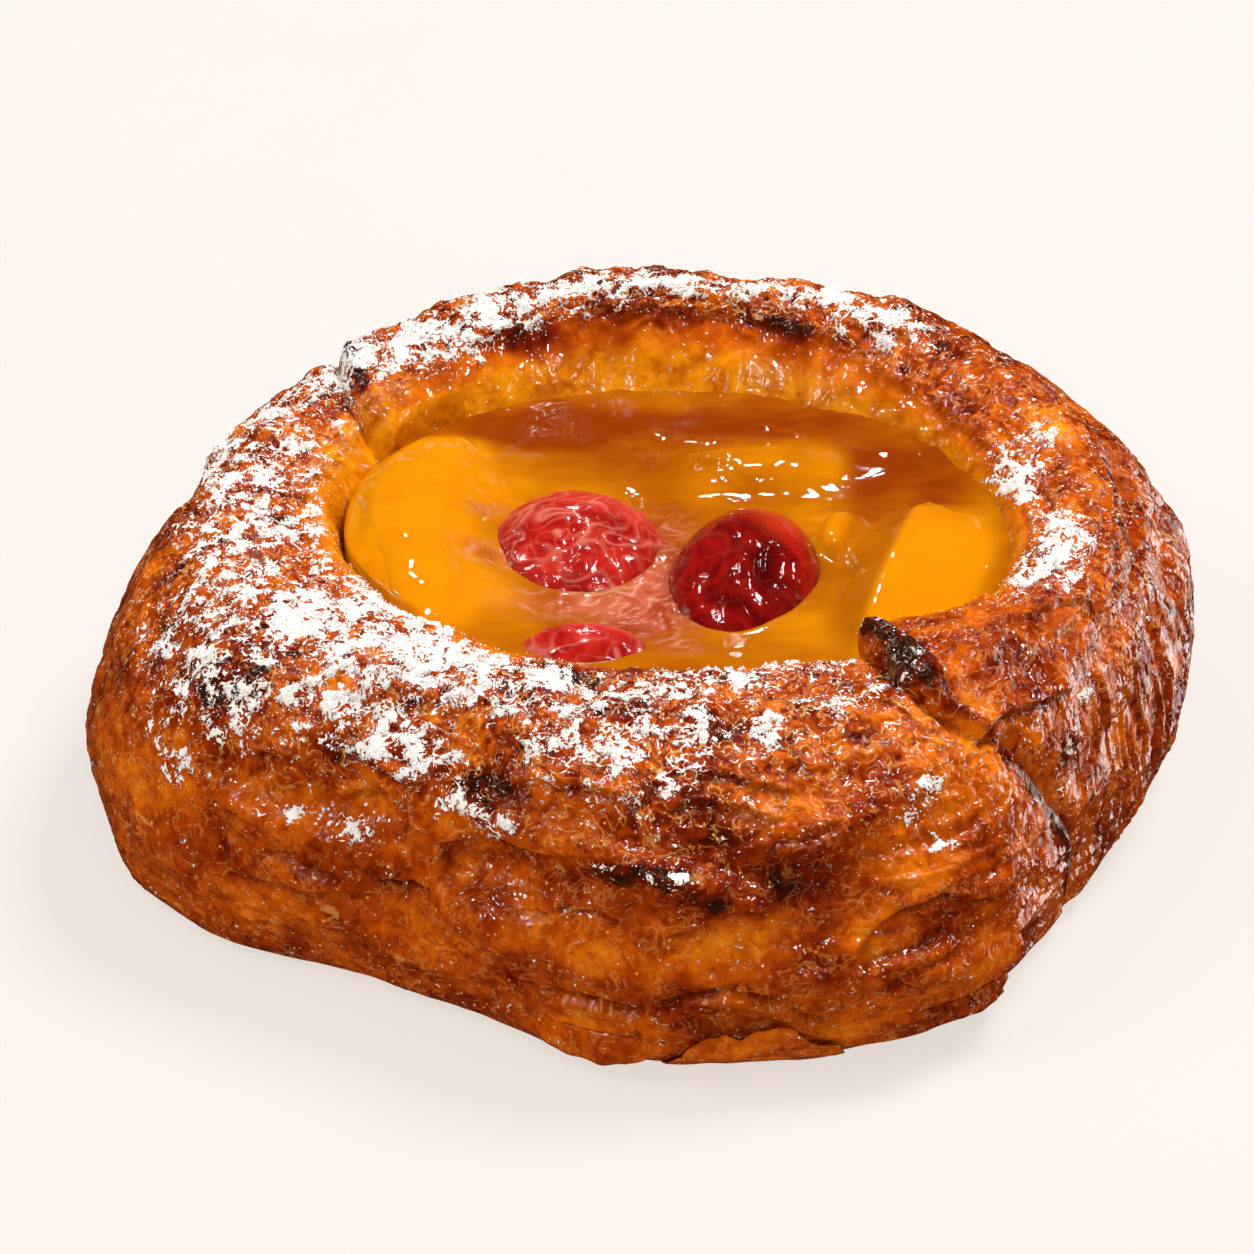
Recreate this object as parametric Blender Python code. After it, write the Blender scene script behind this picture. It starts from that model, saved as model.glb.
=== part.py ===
"""A fruit danish: a folded ring of laminated pastry round a well of amber jelly, with peach slices and red berries.

The origin is the middle of the flat foot, +Z is up and -Y is the front. Angles are in degrees, counter-clockwise
from +X seen from above. Blender units are metres.
"""

import math

import bmesh
import bpy
import numpy as np
from mathutils import Euler, Vector

MM = 0.001

# Driving dimensions
FLOOR_HEIGHT = 12.0 * MM
JELLY_LEVEL = 28.6 * MM
GAP = 0.4 * MM
WALL_GAP = 0.6 * MM
FILLING_SIDES = 48
SHARP_ANGLE = math.radians(40.0)

# Stations round the ring, every 30 degrees from +X: outer radius, crest radius and height, lip radius and height, and
# the radius of the well's wall below the lip
STATIONS = np.array([
    (60.0, 48.0, 36.0, 39.5, 33.0, 36.0),
    (61.5, 45.5, 37.2, 36.0, 32.0, 32.0),
    (58.5, 42.0, 38.2, 34.0, 32.5, 29.5),
    (57.5, 40.0, 38.6, 33.8, 33.0, 28.6),
    (56.7, 40.8, 37.3, 33.0, 32.5, 28.6),
    (56.7, 43.2, 34.3, 33.0, 31.5, 30.4),
    (59.0, 43.8, 33.3, 33.4, 31.5, 31.4),
    (62.2, 46.0, 34.3, 33.0, 32.5, 30.4),
    (55.0, 44.0, 35.5, 33.0, 33.2, 30.4),
    (61.0, 46.0, 36.5, 34.0, 33.6, 31.4),
    (62.0, 48.0, 36.5, 37.0, 34.0, 34.4),
    (57.8, 48.5, 36.0, 42.0, 33.5, 38.6),
]) * MM

# The profile's stations are numbered from 0, the edge of the flat foot, to LAST, the middle edge of the well's floor
WALL, SHOULDER, CREST, LIP, LAST = 3.0, 4.5, 7.0, 9.0, 12.0
RING_STEPS = 120
OUTER_STEPS = 33
WELL_STATIONS = (9.9, 10.4, 11.0, 11.5, LAST)

# Where one arm of dough overlaps the other. Each row: profile station, angle, how much the side past it stands proud
FRONT_SEAM = np.array([
    (0.0, -37.0, -1.0 * MM),
    (2.0, -37.5, -2.6 * MM),
    (WALL, -40.0, -3.2 * MM),
    (SHOULDER, -46.5, -1.6 * MM),
    (5.0, -48.5, -0.4 * MM),
    (6.0, -53.5, 1.6 * MM),
    (CREST, -54.5, 2.8 * MM),
    (LIP, -52.0, 3.4 * MM),
    (9.6, -51.0, 0.0),
])
BACK_SEAM = np.array([
    (0.0, 128.0, -0.8 * MM),
    (WALL, 128.0, -1.6 * MM),
    (5.0, 130.5, -1.8 * MM),
    (6.0, 134.0, -1.8 * MM),
    (CREST, 140.0, -1.6 * MM),
    (LIP, 150.0, -2.0 * MM),
    (9.4, 153.0, 0.0),
])
SEAM_FADE = 14.0
SEAM_REACH = 30.0
SEAM_EDGE = 0.5
GROOVE_DEPTH = 1.2 * MM
GROOVE_WIDTH = 2.4

# Relief of the dough. Each row: angle, half width in degrees, profile station, half width, slope, height.
# The slope is how far the profile station rises for each degree past the middle.
SWELLINGS = (
    (10.0, 14.0, 3.8, 1.1, 0.0, 1.9 * MM),
    (52.0, 12.0, 6.2, 1.2, 0.0, 0.9 * MM),
    (92.0, 16.0, 6.6, 1.0, 0.0, 0.7 * MM),
    (118.0, 12.0, 3.2, 1.2, 0.0, 0.9 * MM),
    (192.0, 9.0, 3.2, 0.9, 0.0, 0.5 * MM),
    (215.0, 9.0, 5.8, 0.7, 0.0, 0.7 * MM),
    (262.0, 9.0, 5.5, 0.7, 0.0, 1.1 * MM),
    (298.0, 13.0, 1.8, 1.3, 0.0, 1.9 * MM),
    (301.0, 11.0, 3.6, 0.9, 0.0, 1.1 * MM),
    (316.0, 8.0, 7.4, 0.8, 0.0, 0.8 * MM),
)
HOLLOWS = (
    (-22.0, 9.0, 3.6, 0.8, 0.0, -0.8 * MM),
    (-8.0, 19.0, 5.45, 0.32, 0.018, -1.5 * MM),
    (36.0, 7.0, 4.6, 0.9, 0.0, -0.9 * MM),
    (74.0, 8.0, 8.3, 0.7, 0.0, -0.9 * MM),
    (108.0, 7.0, 7.9, 0.7, 0.0, -0.7 * MM),
    (127.0, 8.0, 6.2, 0.9, 0.0, -1.0 * MM),
    (168.0, 9.0, 4.8, 1.1, 0.0, -1.7 * MM),
    (203.0, 9.0, 5.0, 0.6, 0.0, -1.1 * MM),
    (237.0, 6.0, 4.3, 0.4, 0.0, -1.6 * MM),
    (243.0, 4.5, 3.2, 0.4, 0.0, -1.8 * MM),
    (254.5, 7.0, 4.0, 0.4, 0.01, -2.9 * MM),
    (256.0, 9.0, 1.7, 0.9, 0.0, -1.1 * MM),
    (263.0, 5.0, 7.8, 0.5, 0.0, -1.3 * MM),
    (286.0, 6.5, 3.7, 0.5, 0.0, -1.6 * MM),
)
FOLDS = (
    (230.0, 12.0, 3.75, 0.27, -0.02, 1.5 * MM),
    (235.0, 12.0, 2.5, 0.3, -0.025, 1.2 * MM),
    (254.5, 10.5, 4.75, 0.28, 0.0, 1.2 * MM),
    (252.0, 10.0, 3.25, 0.28, 0.01, 1.1 * MM),
    (272.0, 10.0, 4.3, 0.26, -0.033, 1.9 * MM),
    (272.0, 10.0, 3.7, 0.26, -0.033, -1.1 * MM),
    (276.0, 13.0, 2.9, 0.28, 0.0, 1.3 * MM),
    (270.0, 17.0, 1.7, 0.35, 0.01, 1.5 * MM),
    (292.0, 10.0, 4.9, 0.26, 0.03, 1.2 * MM),
    (308.0, 9.0, 2.5, 0.3, -0.02, 1.2 * MM),
)
CREASE_DEPTH = 1.1 * MM
CREASE_WIDTH = 0.3

# Fruit: name, centre, half sizes in millimetres, and turns in degrees about X, Y and Z. A slice's length is its own Y;
# its bend is how far its ends swing towards its own +X, as a share of its half width
BERRIES = (
    ("berry_left", (-6.7, -2.0, 26.4), (9.9, 10.4, 6.6), (0.0, 4.0, 0.0)),
    ("berry_right", (11.0, -9.2, 26.4), (8.4, 11.8, 8.4), (6.0, 0.0, -14.0)),
    ("berry_front", (-6.4, -22.6, 24.9), (8.2, 4.2, 6.0), (0.0, -3.0, 2.0)),
)
SLICES = (
    ("peach_left", "dome", (-24.2, -1.4, 26.3), (7.6, 20.0, 7.1), (0.0, 5.0, -2.0), 0.55),
    ("peach_back", "dome", (12.2, 13.8, 24.4), (5.4, 10.8, 5.8), (0.0, 4.0, -84.0), 0.15),
    ("peach_small", "dome", (21.3, -0.6, 28.0), (1.9, 3.8, 2.2), (0.0, 0.0, -16.0), 0.0),
    ("peach_right", "ridge", (28.3, -11.8, 25.4), (9.4, 15.6, 7.6), (3.0, 0.0, -16.0), 0.0),
)
SECTIONS = {
    "dome": ((0.0, 1.0), (0.48, 0.92), (0.83, 0.64), (1.0, 0.1), (0.82, -0.62), (0.4, -1.0),
             (-0.4, -1.0), (-0.82, -0.62), (-1.0, 0.1), (-0.83, 0.64), (-0.48, 0.92)),
    "ridge": ((-0.2, 1.0), (0.2, 0.9), (0.62, 0.74), (0.94, 0.44), (0.96, -0.1), (0.7, -0.72), (0.3, -1.0),
              (-0.3, -1.0), (-0.6, -0.6), (-0.86, 0.05), (-0.82, 0.34), (-0.5, 0.7)),
}
SLICE_STEPS = 11


def wrapped(angle):
    """An angle in degrees brought between -180 and 180."""
    return (angle + 180.0) % 360.0 - 180.0


def round_the_ring(column, angle):
    """A station value at any angle, by a smooth periodic curve through the twelve stations."""
    count = len(STATIONS)
    place = np.asarray(angle, float) % 360.0 / (360.0 / count)
    before = np.floor(place).astype(int)
    t = place - before
    a, b, c, d = (STATIONS[(before + k) % count, column] for k in (-1, 0, 1, 2))
    return b + 0.5 * t * (c - a + t * (2 * a - 5 * b + 4 * c - d + t * (3 * (b - c) + d - a)))


def profile_points(angle):
    """The radius and height of the profile's numbered stations at each angle, from the foot over the crest."""
    outer, crest, top, lip, lip_top, well = (round_the_ring(k, angle) for k in range(6))
    shoulder = outer - crest
    inside = crest - lip
    radius = [
        outer * 0.87,
        outer - 2.6 * MM,
        outer - 0.7 * MM,
        outer,
        outer - 0.10 * shoulder,
        outer - 0.32 * shoulder,
        outer - 0.66 * shoulder,
        crest,
        crest - 0.52 * inside,
        lip,
        well,
        well - 3.0 * MM,
        well - 8.0 * MM,
    ]
    flat = np.zeros_like(outer)
    height = [
        flat,
        flat + 1.3 * MM,
        0.17 * top,
        0.38 * top,
        0.61 * top,
        0.80 * top,
        0.94 * top,
        top,
        top - 0.26 * (top - lip_top),
        lip_top,
        lip_top - 6.5 * MM,
        flat + FLOOR_HEIGHT + 2.5 * MM,
        flat + FLOOR_HEIGHT,
    ]
    return np.array(radius), np.array(height)


def along_profile(points, station):
    """Values on a smooth curve through the profile's stations, at one station for each angle."""
    before = np.clip(np.floor(station).astype(int), 0, len(points) - 2)
    t = station - before
    column = np.arange(points.shape[1])
    b, c = points[before, column], points[before + 1, column]
    a = np.where(before > 0, points[before - 1, column], 2 * b - c)
    past = np.minimum(before + 2, len(points) - 1)
    d = np.where(before + 2 < len(points), points[past, column], 2 * c - b)
    return b + 0.5 * t * (c - a + t * (2 * a - 5 * b + 4 * c - d + t * (3 * (b - c) + d - a)))


def seam_relief(seam, angle, station):
    """The step and the groove where one arm of dough lies over the other."""
    at = np.interp(station, seam[:, 0], seam[:, 1])
    step = np.interp(station, seam[:, 0], seam[:, 2])
    past = wrapped(angle - at)
    proud = 0.5 * step * np.sign(past) * np.exp(-np.abs(past) / SEAM_FADE)
    groove = GROOVE_DEPTH * np.exp(-((past / GROOVE_WIDTH) ** 2))
    return proud - groove * np.interp(station, (0.5, 1.5, 8.5, 9.5), (0.0, 1.0, 1.0, 0.0))


def dough_relief(angle, station):
    """The swellings, hollows and folds of the baked dough."""
    total = np.zeros_like(angle)
    for centre, half_angle, at, half_station, slope, height in SWELLINGS + HOLLOWS + FOLDS:
        past = wrapped(angle - centre)
        along = (station - at - slope * past) / half_station
        total += height * np.exp(-((past / half_angle) ** 2) - along * along)
    return total


def crease_relief(angle, station):
    """The fold line below the shoulder, which wanders and comes and goes round the ring."""
    turn = np.radians(angle)
    at = SHOULDER - 0.15 + 0.35 * np.sin(3 * turn + 0.6) + 0.2 * np.sin(7 * turn + 2.0)
    strength = 0.55 + 0.45 * np.sin(2 * turn + 3.6) * np.cos(5 * turn + 0.4)
    return -CREASE_DEPTH * strength * np.exp(-(((station - at) / CREASE_WIDTH) ** 2))


def pastry_surface(angle, station):
    """Points of the pastry's skin, one for each angle and profile station, and the way it faces there."""
    radius, height = profile_points(angle)
    low, high = np.maximum(0.0, station - 0.02), np.minimum(LAST, station + 0.02)
    along_r = along_profile(radius, high) - along_profile(radius, low)
    along_z = along_profile(height, high) - along_profile(height, low)
    size = np.hypot(along_r, along_z)
    face_r, face_z = along_z / size, -along_r / size
    relief = dough_relief(angle, station) + crease_relief(angle, station)
    relief += seam_relief(FRONT_SEAM, angle, station) + seam_relief(BACK_SEAM, angle, station)
    relief *= np.interp(station, (0.5, 1.5, 9.8, 10.4), (0.0, 1.0, 1.0, 0.0))
    turn = np.radians(angle)
    out = np.array([np.cos(turn), np.sin(turn), np.zeros_like(turn)])
    up = np.array([[0.0], [0.0], [1.0]])
    facing = out * face_r + up * face_z
    points = out * along_profile(radius, station) + up * along_profile(height, station) + facing * relief
    return points.T, facing.T


def seam_home(seam):
    """The angle of a seam at the crest, which names its columns."""
    return float(np.interp(CREST, seam[:, 0], seam[:, 1]))


def ring_angles(steps):
    """Column angles all the way round, with a close pair of columns at each seam."""
    front, back = seam_home(FRONT_SEAM), seam_home(BACK_SEAM)
    right = round(steps * (back - front) / 360.0)
    return np.concatenate([
        np.linspace(front + SEAM_EDGE, back - SEAM_EDGE, right),
        np.linspace(back + SEAM_EDGE, front + 360.0 - SEAM_EDGE, steps - right),
    ])


def beside_seams(column, station):
    """The true angle of a column at a profile station: near a seam the columns run along it."""
    angle = column.copy()
    for seam in (FRONT_SEAM, BACK_SEAM):
        home = seam_home(seam)
        shift = np.interp(station, seam[:, 0], seam[:, 1]) - home
        angle = angle + shift * np.exp(-((wrapped(column - home) / SEAM_REACH) ** 2))
    return angle


def pastry_ring(column, station):
    """One ring of skin points at a profile station, and the way it faces."""
    station = np.full(len(column), float(station))
    return pastry_surface(beside_seams(column, station), station)


def profile_stations():
    """The stations of the rings: evenly spaced along the skin down to the jelly, then a few inside the well."""
    fine = np.linspace(0.0, 9.5, 1000)
    radius, height = profile_points(np.full(len(fine), 270.0))
    along_r, along_z = along_profile(radius, fine), along_profile(height, fine)
    walked = np.concatenate([[0.0], np.cumsum(np.hypot(np.diff(along_r), np.diff(along_z)))])
    even = np.interp(np.linspace(0.0, walked[-1], OUTER_STEPS), walked, fine)
    return np.concatenate([even, WELL_STATIONS])


def material(name, colour, roughness):
    """A Principled material of one colour."""
    made = bpy.data.materials.new(name)
    made.use_nodes = True
    shader = made.node_tree.nodes["Principled BSDF"]
    shader.inputs["Base Color"].default_value = (*colour, 1.0)
    shader.inputs["Roughness"].default_value = roughness
    shader.inputs["Metallic"].default_value = 0.0
    made.diffuse_color = (*colour, 1.0)
    return made


def object_of(name, builder, surface):
    """An object with the bmesh's faces, facing out and shaded smooth."""
    bmesh.ops.recalc_face_normals(builder, faces=builder.faces)
    mesh = bpy.data.meshes.new(name)
    builder.to_mesh(mesh)
    builder.free()
    mesh.materials.append(surface)
    mesh.shade_smooth()
    mesh.set_sharp_from_angle(angle=SHARP_ANGLE)
    made = bpy.data.objects.new(name, mesh)
    bpy.context.scene.collection.objects.link(made)
    return made


def rings_to_body(rings, first_centre, last_centre):
    """A closed body from rings of points, with a fan to a centre at each end."""
    builder = bmesh.new()
    loops = [[builder.verts.new(point) for point in ring] for ring in rings]
    for below, above in zip(loops, loops[1:]):
        for k, start in enumerate(below):
            after = (k + 1) % len(below)
            builder.faces.new((start, below[after], above[after], above[k]))
    for loop, centre in ((loops[0], first_centre), (loops[-1], last_centre)):
        hub = builder.verts.new(centre)
        for k, start in enumerate(loop):
            builder.faces.new((start, loop[(k + 1) % len(loop)], hub))
    return builder


def make_pastry(surface):
    """The folded ring and its floor, as one solid."""
    columns = ring_angles(RING_STEPS)
    rings = [pastry_ring(columns, station)[0] for station in profile_stations()]
    return object_of("pastry", rings_to_body(rings, (0, 0, 0), (0, 0, FLOOR_HEIGHT)), surface)


def jelly_edge(column):
    """The height at which the jelly meets the wall: it climbs the wall at the right."""
    return JELLY_LEVEL + 2.6 * MM * np.exp(-((wrapped(column - 5.0) / 45.0) ** 2))


def jelly_height(x, y):
    """The jelly's uneven top away from its edge."""
    waves = 0.35 * MM * np.sin(x / (6.5 * MM) + 0.8) * np.cos(y / (5.0 * MM))
    return JELLY_LEVEL + waves


def make_filling(surface):
    """The jelly that fills the well, before the fruit is cut from it."""
    columns = np.linspace(0.0, 360.0, FILLING_SIDES, endpoint=False)
    heights = profile_points(columns)[1]
    edge_station = LIP + (heights[9] - jelly_edge(columns)) / (heights[9] - heights[10])
    rings = []
    for station in (*reversed(WELL_STATIONS), edge_station):
        points, facing = pastry_surface(columns, np.broadcast_to(station, columns.shape))
        rings.append(points + facing * GAP)
    edge = rings[-1]
    for share in (0.88, 0.72, 0.54, 0.36, 0.18):
        ring = edge * (share, share, 1.0)
        blend = min(1.0, (1.0 - share) / 0.3)
        ring[:, 2] = edge[:, 2] * (1 - blend) + jelly_height(ring[:, 0], ring[:, 1]) * blend
        rings.append(ring)
    floor = (0, 0, FLOOR_HEIGHT + GAP)
    top = (0, 0, float(jelly_height(0.0, 0.0)))
    return object_of("filling", rings_to_body(rings, floor, top), surface)


def unit_berry():
    """A soft baked berry of unit size: blunt at the back, narrower at the front end."""
    builder = bmesh.new()
    bmesh.ops.create_uvsphere(builder, u_segments=16, v_segments=9, radius=1.0)
    for vert in builder.verts:
        narrow = 1.0 + 0.14 * min(0.0, vert.co.y)
        vert.co = Vector((vert.co.x * narrow, vert.co.y, vert.co.z * narrow))
    return builder


def unit_slice(section, bend):
    """A plump slice of unit size: one section along its length, with blunt rounded ends and a bend."""
    rings = []
    for k in range(SLICE_STEPS):
        along = -math.cos(math.pi * (k + 0.6) / (SLICE_STEPS + 0.2))
        swell = (1.0 - abs(along) ** 3.2) ** 0.42
        aside = bend * (along * along - 0.4)
        rings.append([(x * swell + aside, along, z * (0.35 + 0.65 * swell)) for x, z in section])
    aside = bend * 0.6
    return rings_to_body(rings, (aside, -1.0, 0.0), (aside, 1.0, 0.0))


def wall_radius(angle, height):
    """How far out the wall of the well is at an angle and a height."""
    station = np.linspace(LAST, LIP, 40)
    points = pastry_surface(np.full(len(station), angle), station)[0]
    return float(np.interp(height, points[:, 2], np.hypot(points[:, 0], points[:, 1])))


def press_inside(point, gap):
    """A point of the fruit, moved in where it would reach into the wall."""
    room = wall_radius(math.degrees(math.atan2(point.y, point.x)), point.z) - gap
    shrink = min(1.0, room / math.hypot(point.x, point.y))
    return Vector((point.x * shrink, point.y * shrink, point.z))


def lay_fruit(name, builder, place, surface, grown):
    """One piece of fruit from its unit shape, laid in its place and grown on all sides."""
    centre, half, turn = place
    rotation = Euler([math.radians(angle) for angle in turn]).to_matrix()
    for vert in builder.verts:
        scaled = Vector([value * (size * MM + grown) for value, size in zip(vert.co, half)])
        vert.co = press_inside(rotation @ scaled + Vector(centre) * MM, WALL_GAP - grown)
    return object_of(name, builder, surface)


def lay_all_fruit(red, peach, grown=0.0, ending=""):
    """All the berries and peach slices, at true size or grown on all sides to cut their beds."""
    laid = [lay_fruit(name + ending, unit_berry(), place, red, grown) for name, *place in BERRIES]
    for name, section, *place, bend in SLICES:
        laid.append(lay_fruit(name + ending, unit_slice(SECTIONS[section], bend), place, peach, grown))
    return laid


def cut_from(body, cutter):
    """Cuts a body with another, which is then removed."""
    cut = body.modifiers.new("cut", "BOOLEAN")
    cut.operation = "DIFFERENCE"
    cut.object = cutter
    cut.use_self = True
    graph = bpy.context.evaluated_depsgraph_get()
    body.data = bpy.data.meshes.new_from_object(body.evaluated_get(graph))
    body.modifiers.clear()
    bpy.data.objects.remove(cutter)


def loose_parts(builder):
    """The mesh's separate parts, each a set of vertices, smallest first."""
    waiting = set(builder.verts)
    parts = []
    while waiting:
        part = set()
        reached = [waiting.pop()]
        while reached:
            vert = reached.pop()
            part.add(vert)
            near = {edge.other_vert(vert) for edge in vert.link_edges} & waiting
            waiting -= near
            reached.extend(near)
        parts.append(part)
    return sorted(parts, key=len)


def keep_largest(body):
    """Drops the slivers that the cuts left pinched between the fruit and the wall."""
    builder = bmesh.new()
    builder.from_mesh(body.data)
    slivers = [vert for part in loose_parts(builder)[:-1] for vert in part]
    bmesh.ops.delete(builder, geom=slivers, context="VERTS")
    bmesh.ops.triangulate(builder, faces=builder.faces)
    builder.to_mesh(body.data)
    builder.free()
    body.data.set_sharp_from_angle(angle=SHARP_ANGLE)


def main():
    for old in list(bpy.data.objects):
        bpy.data.objects.remove(old, do_unlink=True)
    crust = material("baked_crust", (0.42, 0.10, 0.012), 0.38)
    amber = material("amber_jelly", (0.62, 0.17, 0.004), 0.12)
    peach = material("peach_flesh", (0.93, 0.36, 0.01), 0.30)
    red = material("berry_skin", (0.42, 0.02, 0.012), 0.18)
    make_pastry(crust)
    filling = make_filling(amber)
    for bed in lay_all_fruit(red, peach, grown=GAP, ending="_bed"):
        cut_from(filling, bed)
    keep_largest(filling)
    lay_all_fruit(red, peach)


main()
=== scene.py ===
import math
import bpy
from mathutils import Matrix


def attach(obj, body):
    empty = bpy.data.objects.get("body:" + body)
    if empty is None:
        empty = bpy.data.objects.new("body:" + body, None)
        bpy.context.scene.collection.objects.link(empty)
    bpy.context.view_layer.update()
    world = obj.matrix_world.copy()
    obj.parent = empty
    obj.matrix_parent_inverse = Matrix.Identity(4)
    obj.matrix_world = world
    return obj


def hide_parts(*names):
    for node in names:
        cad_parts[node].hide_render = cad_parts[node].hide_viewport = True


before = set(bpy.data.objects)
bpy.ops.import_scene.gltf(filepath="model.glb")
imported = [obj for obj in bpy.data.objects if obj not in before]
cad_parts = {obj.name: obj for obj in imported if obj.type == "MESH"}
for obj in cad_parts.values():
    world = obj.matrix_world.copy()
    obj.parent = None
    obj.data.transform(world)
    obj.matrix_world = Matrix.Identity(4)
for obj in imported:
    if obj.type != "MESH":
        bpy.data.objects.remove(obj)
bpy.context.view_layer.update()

# A fruit danish: two arms of glazed, flaky crust round a well of amber jelly, with peach slices, red berries
# and a dusting of sugar. Lengths are in metres unless a comment says millimetres, and angles are in degrees,
# counter-clockwise from +X.

from types import SimpleNamespace

import bmesh
import bpy
import numpy as np
from mathutils import Euler, Vector, noise
from mathutils.bvhtree import BVHTree

BODY = "root"
MM = 0.001

# The crust's form, as in the solids. Stations round the ring, every 30 degrees from +X, in millimetres: outer
# radius, crest radius and height, lip radius and height, and the radius of the well's wall below the lip
STATIONS = np.array([
    (60.0, 48.0, 36.0, 39.5, 33.0, 36.0),
    (61.5, 45.5, 37.2, 36.0, 32.0, 32.0),
    (58.5, 42.0, 38.2, 34.0, 32.5, 29.5),
    (57.5, 40.0, 38.6, 33.8, 33.0, 28.6),
    (56.7, 40.8, 37.3, 33.0, 32.5, 28.6),
    (56.7, 43.2, 34.3, 33.0, 31.5, 30.4),
    (59.0, 43.8, 33.3, 33.4, 31.5, 31.4),
    (62.2, 46.0, 34.3, 33.0, 32.5, 30.4),
    (55.0, 44.0, 35.5, 33.0, 33.2, 30.4),
    (61.0, 46.0, 36.5, 34.0, 33.6, 31.4),
    (62.0, 48.0, 36.5, 37.0, 34.0, 34.4),
    (57.8, 48.5, 36.0, 42.0, 33.5, 38.6),
]) * MM
# The profile's numbered stations, from the foot at 0 over the crest to the floor of the well
WALL, SHOULDER, CREST, LIP, LAST = 3.0, 4.5, 7.0, 9.0, 12.0
FLOOR_HEIGHT = 12.0 * MM
JELLY_LEVEL = 28.6 * MM

# Where one arm of dough overlaps the other: profile station, angle, how much the side past it stands proud
FRONT_SEAM = np.array([
    (0.0, -37.0, -1.0 * MM),
    (2.0, -37.5, -2.6 * MM),
    (WALL, -40.0, -3.2 * MM),
    (SHOULDER, -46.5, -1.6 * MM),
    (5.0, -48.5, -0.4 * MM),
    (6.0, -53.5, 1.6 * MM),
    (CREST, -54.5, 2.8 * MM),
    (LIP, -52.0, 3.4 * MM),
    (9.6, -51.0, 0.0),
])
BACK_SEAM = np.array([
    (0.0, 128.0, -0.8 * MM),
    (WALL, 128.0, -1.6 * MM),
    (5.0, 130.5, -1.8 * MM),
    (6.0, 134.0, -1.8 * MM),
    (CREST, 140.0, -1.6 * MM),
    (LIP, 150.0, -2.0 * MM),
    (9.4, 153.0, 0.0),
])
SEAM_FADE = 14.0
SEAM_REACH = 30.0
GROOVE_DEPTH = 1.2 * MM
GROOVE_WIDTH = 2.4

# Swellings, hollows and folds: angle, half width in degrees, profile station, half width, slope, height
RELIEF = (
    (10.0, 14.0, 3.8, 1.1, 0.0, 1.9 * MM),
    (52.0, 12.0, 6.2, 1.2, 0.0, 0.9 * MM),
    (92.0, 16.0, 6.6, 1.0, 0.0, 0.7 * MM),
    (118.0, 12.0, 3.2, 1.2, 0.0, 0.9 * MM),
    (192.0, 9.0, 3.2, 0.9, 0.0, 0.5 * MM),
    (215.0, 9.0, 5.8, 0.7, 0.0, 0.7 * MM),
    (262.0, 9.0, 5.5, 0.7, 0.0, 1.1 * MM),
    (298.0, 13.0, 1.8, 1.3, 0.0, 1.9 * MM),
    (301.0, 11.0, 3.6, 0.9, 0.0, 1.1 * MM),
    (316.0, 8.0, 7.4, 0.8, 0.0, 0.8 * MM),
    (-22.0, 9.0, 3.6, 0.8, 0.0, -0.8 * MM),
    (-8.0, 19.0, 5.45, 0.32, 0.018, -1.5 * MM),
    (36.0, 7.0, 4.6, 0.9, 0.0, -0.9 * MM),
    (74.0, 8.0, 8.3, 0.7, 0.0, -0.9 * MM),
    (108.0, 7.0, 7.9, 0.7, 0.0, -0.7 * MM),
    (127.0, 8.0, 6.2, 0.9, 0.0, -1.0 * MM),
    (168.0, 9.0, 4.8, 1.1, 0.0, -1.7 * MM),
    (203.0, 9.0, 5.0, 0.6, 0.0, -1.1 * MM),
    (237.0, 6.0, 4.3, 0.4, 0.0, -1.6 * MM),
    (243.0, 4.5, 3.2, 0.4, 0.0, -1.8 * MM),
    (254.5, 7.0, 4.0, 0.4, 0.01, -2.9 * MM),
    (256.0, 9.0, 1.7, 0.9, 0.0, -1.1 * MM),
    (263.0, 5.0, 7.8, 0.5, 0.0, -1.3 * MM),
    (286.0, 6.5, 3.7, 0.5, 0.0, -1.6 * MM),
    (230.0, 12.0, 3.75, 0.27, -0.02, 1.5 * MM),
    (235.0, 12.0, 2.5, 0.3, -0.025, 1.2 * MM),
    (254.5, 10.5, 4.75, 0.28, 0.0, 1.2 * MM),
    (252.0, 10.0, 3.25, 0.28, 0.01, 1.1 * MM),
    (272.0, 10.0, 4.3, 0.26, -0.033, 1.9 * MM),
    (272.0, 10.0, 3.7, 0.26, -0.033, -1.1 * MM),
    (276.0, 13.0, 2.9, 0.28, 0.0, 1.3 * MM),
    (270.0, 17.0, 1.7, 0.35, 0.01, 1.5 * MM),
    (292.0, 10.0, 4.9, 0.26, 0.03, 1.2 * MM),
    (308.0, 9.0, 2.5, 0.3, -0.02, 1.2 * MM),
)
CREASE_DEPTH = 1.1 * MM
CREASE_WIDTH = 0.3

# The mesh of each arm, how its ends tuck under, and how its highest places are held to the solids' height
ARM_COLUMNS = 436
ARM_ROWS = 222
TUCK_ANGLE = 2.6
TUCK_DEPTH = 4.5 * MM
LOWEST_IN_WELL = 10.3
TOP_FREE, TOP_SQUEEZE = 38.4 * MM, 0.6

# The levels between which sugar comes to cover the crust, and how thick it lies
SUGAR_SHOWS = (0.40, 0.62)
SUGAR_THICKNESS = 0.14 * MM

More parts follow.
